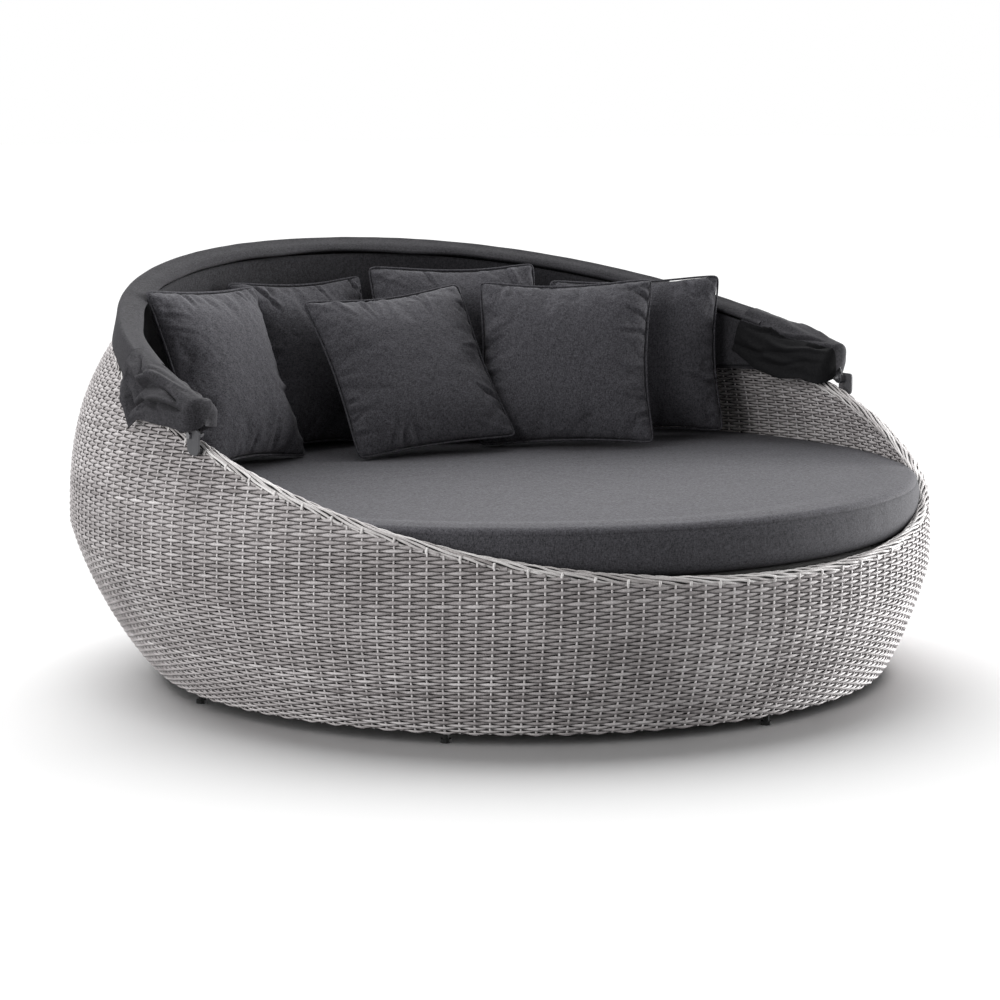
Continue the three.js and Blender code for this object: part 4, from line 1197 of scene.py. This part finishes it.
# Better materials for the solids that stay in view, by the first words of their names
SOLID_LOOKS = (
    (("rim_bracket",), BRACKET_METAL),
    (("pivot_bolt", "pivot_nut"), STEEL),
    (("foot", "centre_foot"), FOOT_PLASTIC_AND_SHADE),
    (("seat_deck",), SHADED_DECK_LOOK),
    (("rib_", "base_ring", "middle_ring", "seat_ring", "rim_tube", "cross_rail", "centre_leg"),
     FRAME_METAL),
)
for node_name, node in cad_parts.items():
    looks = [look for words, look in SOLID_LOOKS if node_name.startswith(words)]
    if "_bow_end" in node_name:
        looks = [BRACKET_METAL]
    elif node_name.endswith("_bow"):
        looks = [BOW_METAL]
    if looks:
        for place in node.material_slots:
            place.material = looks[0]

# Studio: pale floor, soft light from above and from both sides, and the photograph's camera
FLOOR_HALF = 60.0
FLOOR_SEEN = (0.98, 0.98, 0.98)
FLOOR_SENT_BACK = (0.34, 0.34, 0.34)
WORLD_LIGHT = 0.27
CAMERA_PLACE = (-4.01744, -5.06687, 1.31823)
CAMERA_FORWARD = (0.61462, 0.77555, -0.14408)
CAMERA_LENS = 100.2
CAMERA_SENSOR = 36.0


def floor():
    """A floor that is nearly white to the camera, but sends little light back onto the object."""
    mesh = bpy.data.meshes.new("floor")
    h = FLOOR_HALF
    mesh.from_pydata([(-h, -h, 0), (h, -h, 0), (h, h, 0), (-h, h, 0)], [], [(0, 1, 2, 3)])
    piece = bpy.data.objects.new("floor", mesh)
    bpy.context.scene.collection.objects.link(piece)
    made, maker, shader = new_material("floor_paint")
    seen = maker.add("LightPath", {}, "Is Camera Ray")
    maker.fill(shader, {
        "Roughness": 0.9,
        "Specular IOR Level": 0.0,
        "Base Color": maker.ramp(seen, [(0.0, FLOOR_SENT_BACK), (1.0, FLOOR_SEEN)]),
    })
    mesh.materials.append(made)


def studio_world():
    """White behind the object, and a faint even light on it."""
    world = bpy.data.worlds.new("studio")
    bpy.context.scene.world = world
    world.use_nodes = True
    maker = NodeMaker(world.node_tree)
    camera_ray = maker.add("LightPath", {}, "Is Camera Ray")
    either = maker.math("MAXIMUM", camera_ray, camera_ray.node.outputs["Is Transmission Ray"])
    maker.fill(world.node_tree.nodes["Background"], {
        "Strength": maker.math("MULTIPLY_ADD", either, 1 - WORLD_LIGHT, WORLD_LIGHT),
        "Color": (1, 1, 1, 1),
    })


def soft_sun(name, come_from, angle, strength, on_floor=True):
    """Even light: a share of white on a surface that faces it. A side light is flagged off the floor."""
    lamp = bpy.data.lights.new(name, "SUN")
    lamp.angle = math.radians(angle)
    lamp.energy = strength * math.pi
    made = bpy.data.objects.new(name, lamp)
    made.rotation_euler = Vector(come_from).to_track_quat("Z", "Y").to_euler()
    if not on_floor:
        flagged = bpy.data.collections.new(f"{name}_flag")
        flagged.objects.link(bpy.data.objects["floor"])
        flagged.collection_objects[0].light_linking.link_state = "EXCLUDE"
        made.light_linking.receiver_collection = flagged
        made.light_linking.blocker_collection = flagged
    bpy.context.scene.collection.objects.link(made)


floor()
studio_world()
soft_sun("light_above", (0.30, 0.72, 1.0), 66, 1.14)
soft_sun("light_right", (1.0, -0.14, 0.0), 50, 2.5, on_floor=False)
soft_sun("light_left", (-1.0, 0.06, 0.20), 60, 0.80, on_floor=False)

camera_data = bpy.data.cameras.new("camera")
camera_data.lens = CAMERA_LENS
camera_data.sensor_width = CAMERA_SENSOR
camera = bpy.data.objects.new("camera", camera_data)
camera.location = CAMERA_PLACE
camera.rotation_euler = Vector(CAMERA_FORWARD).to_track_quat("-Z", "Y").to_euler()
bpy.context.scene.collection.objects.link(camera)
bpy.context.scene.camera = camera

bpy.context.scene.view_settings.view_transform = "Standard"
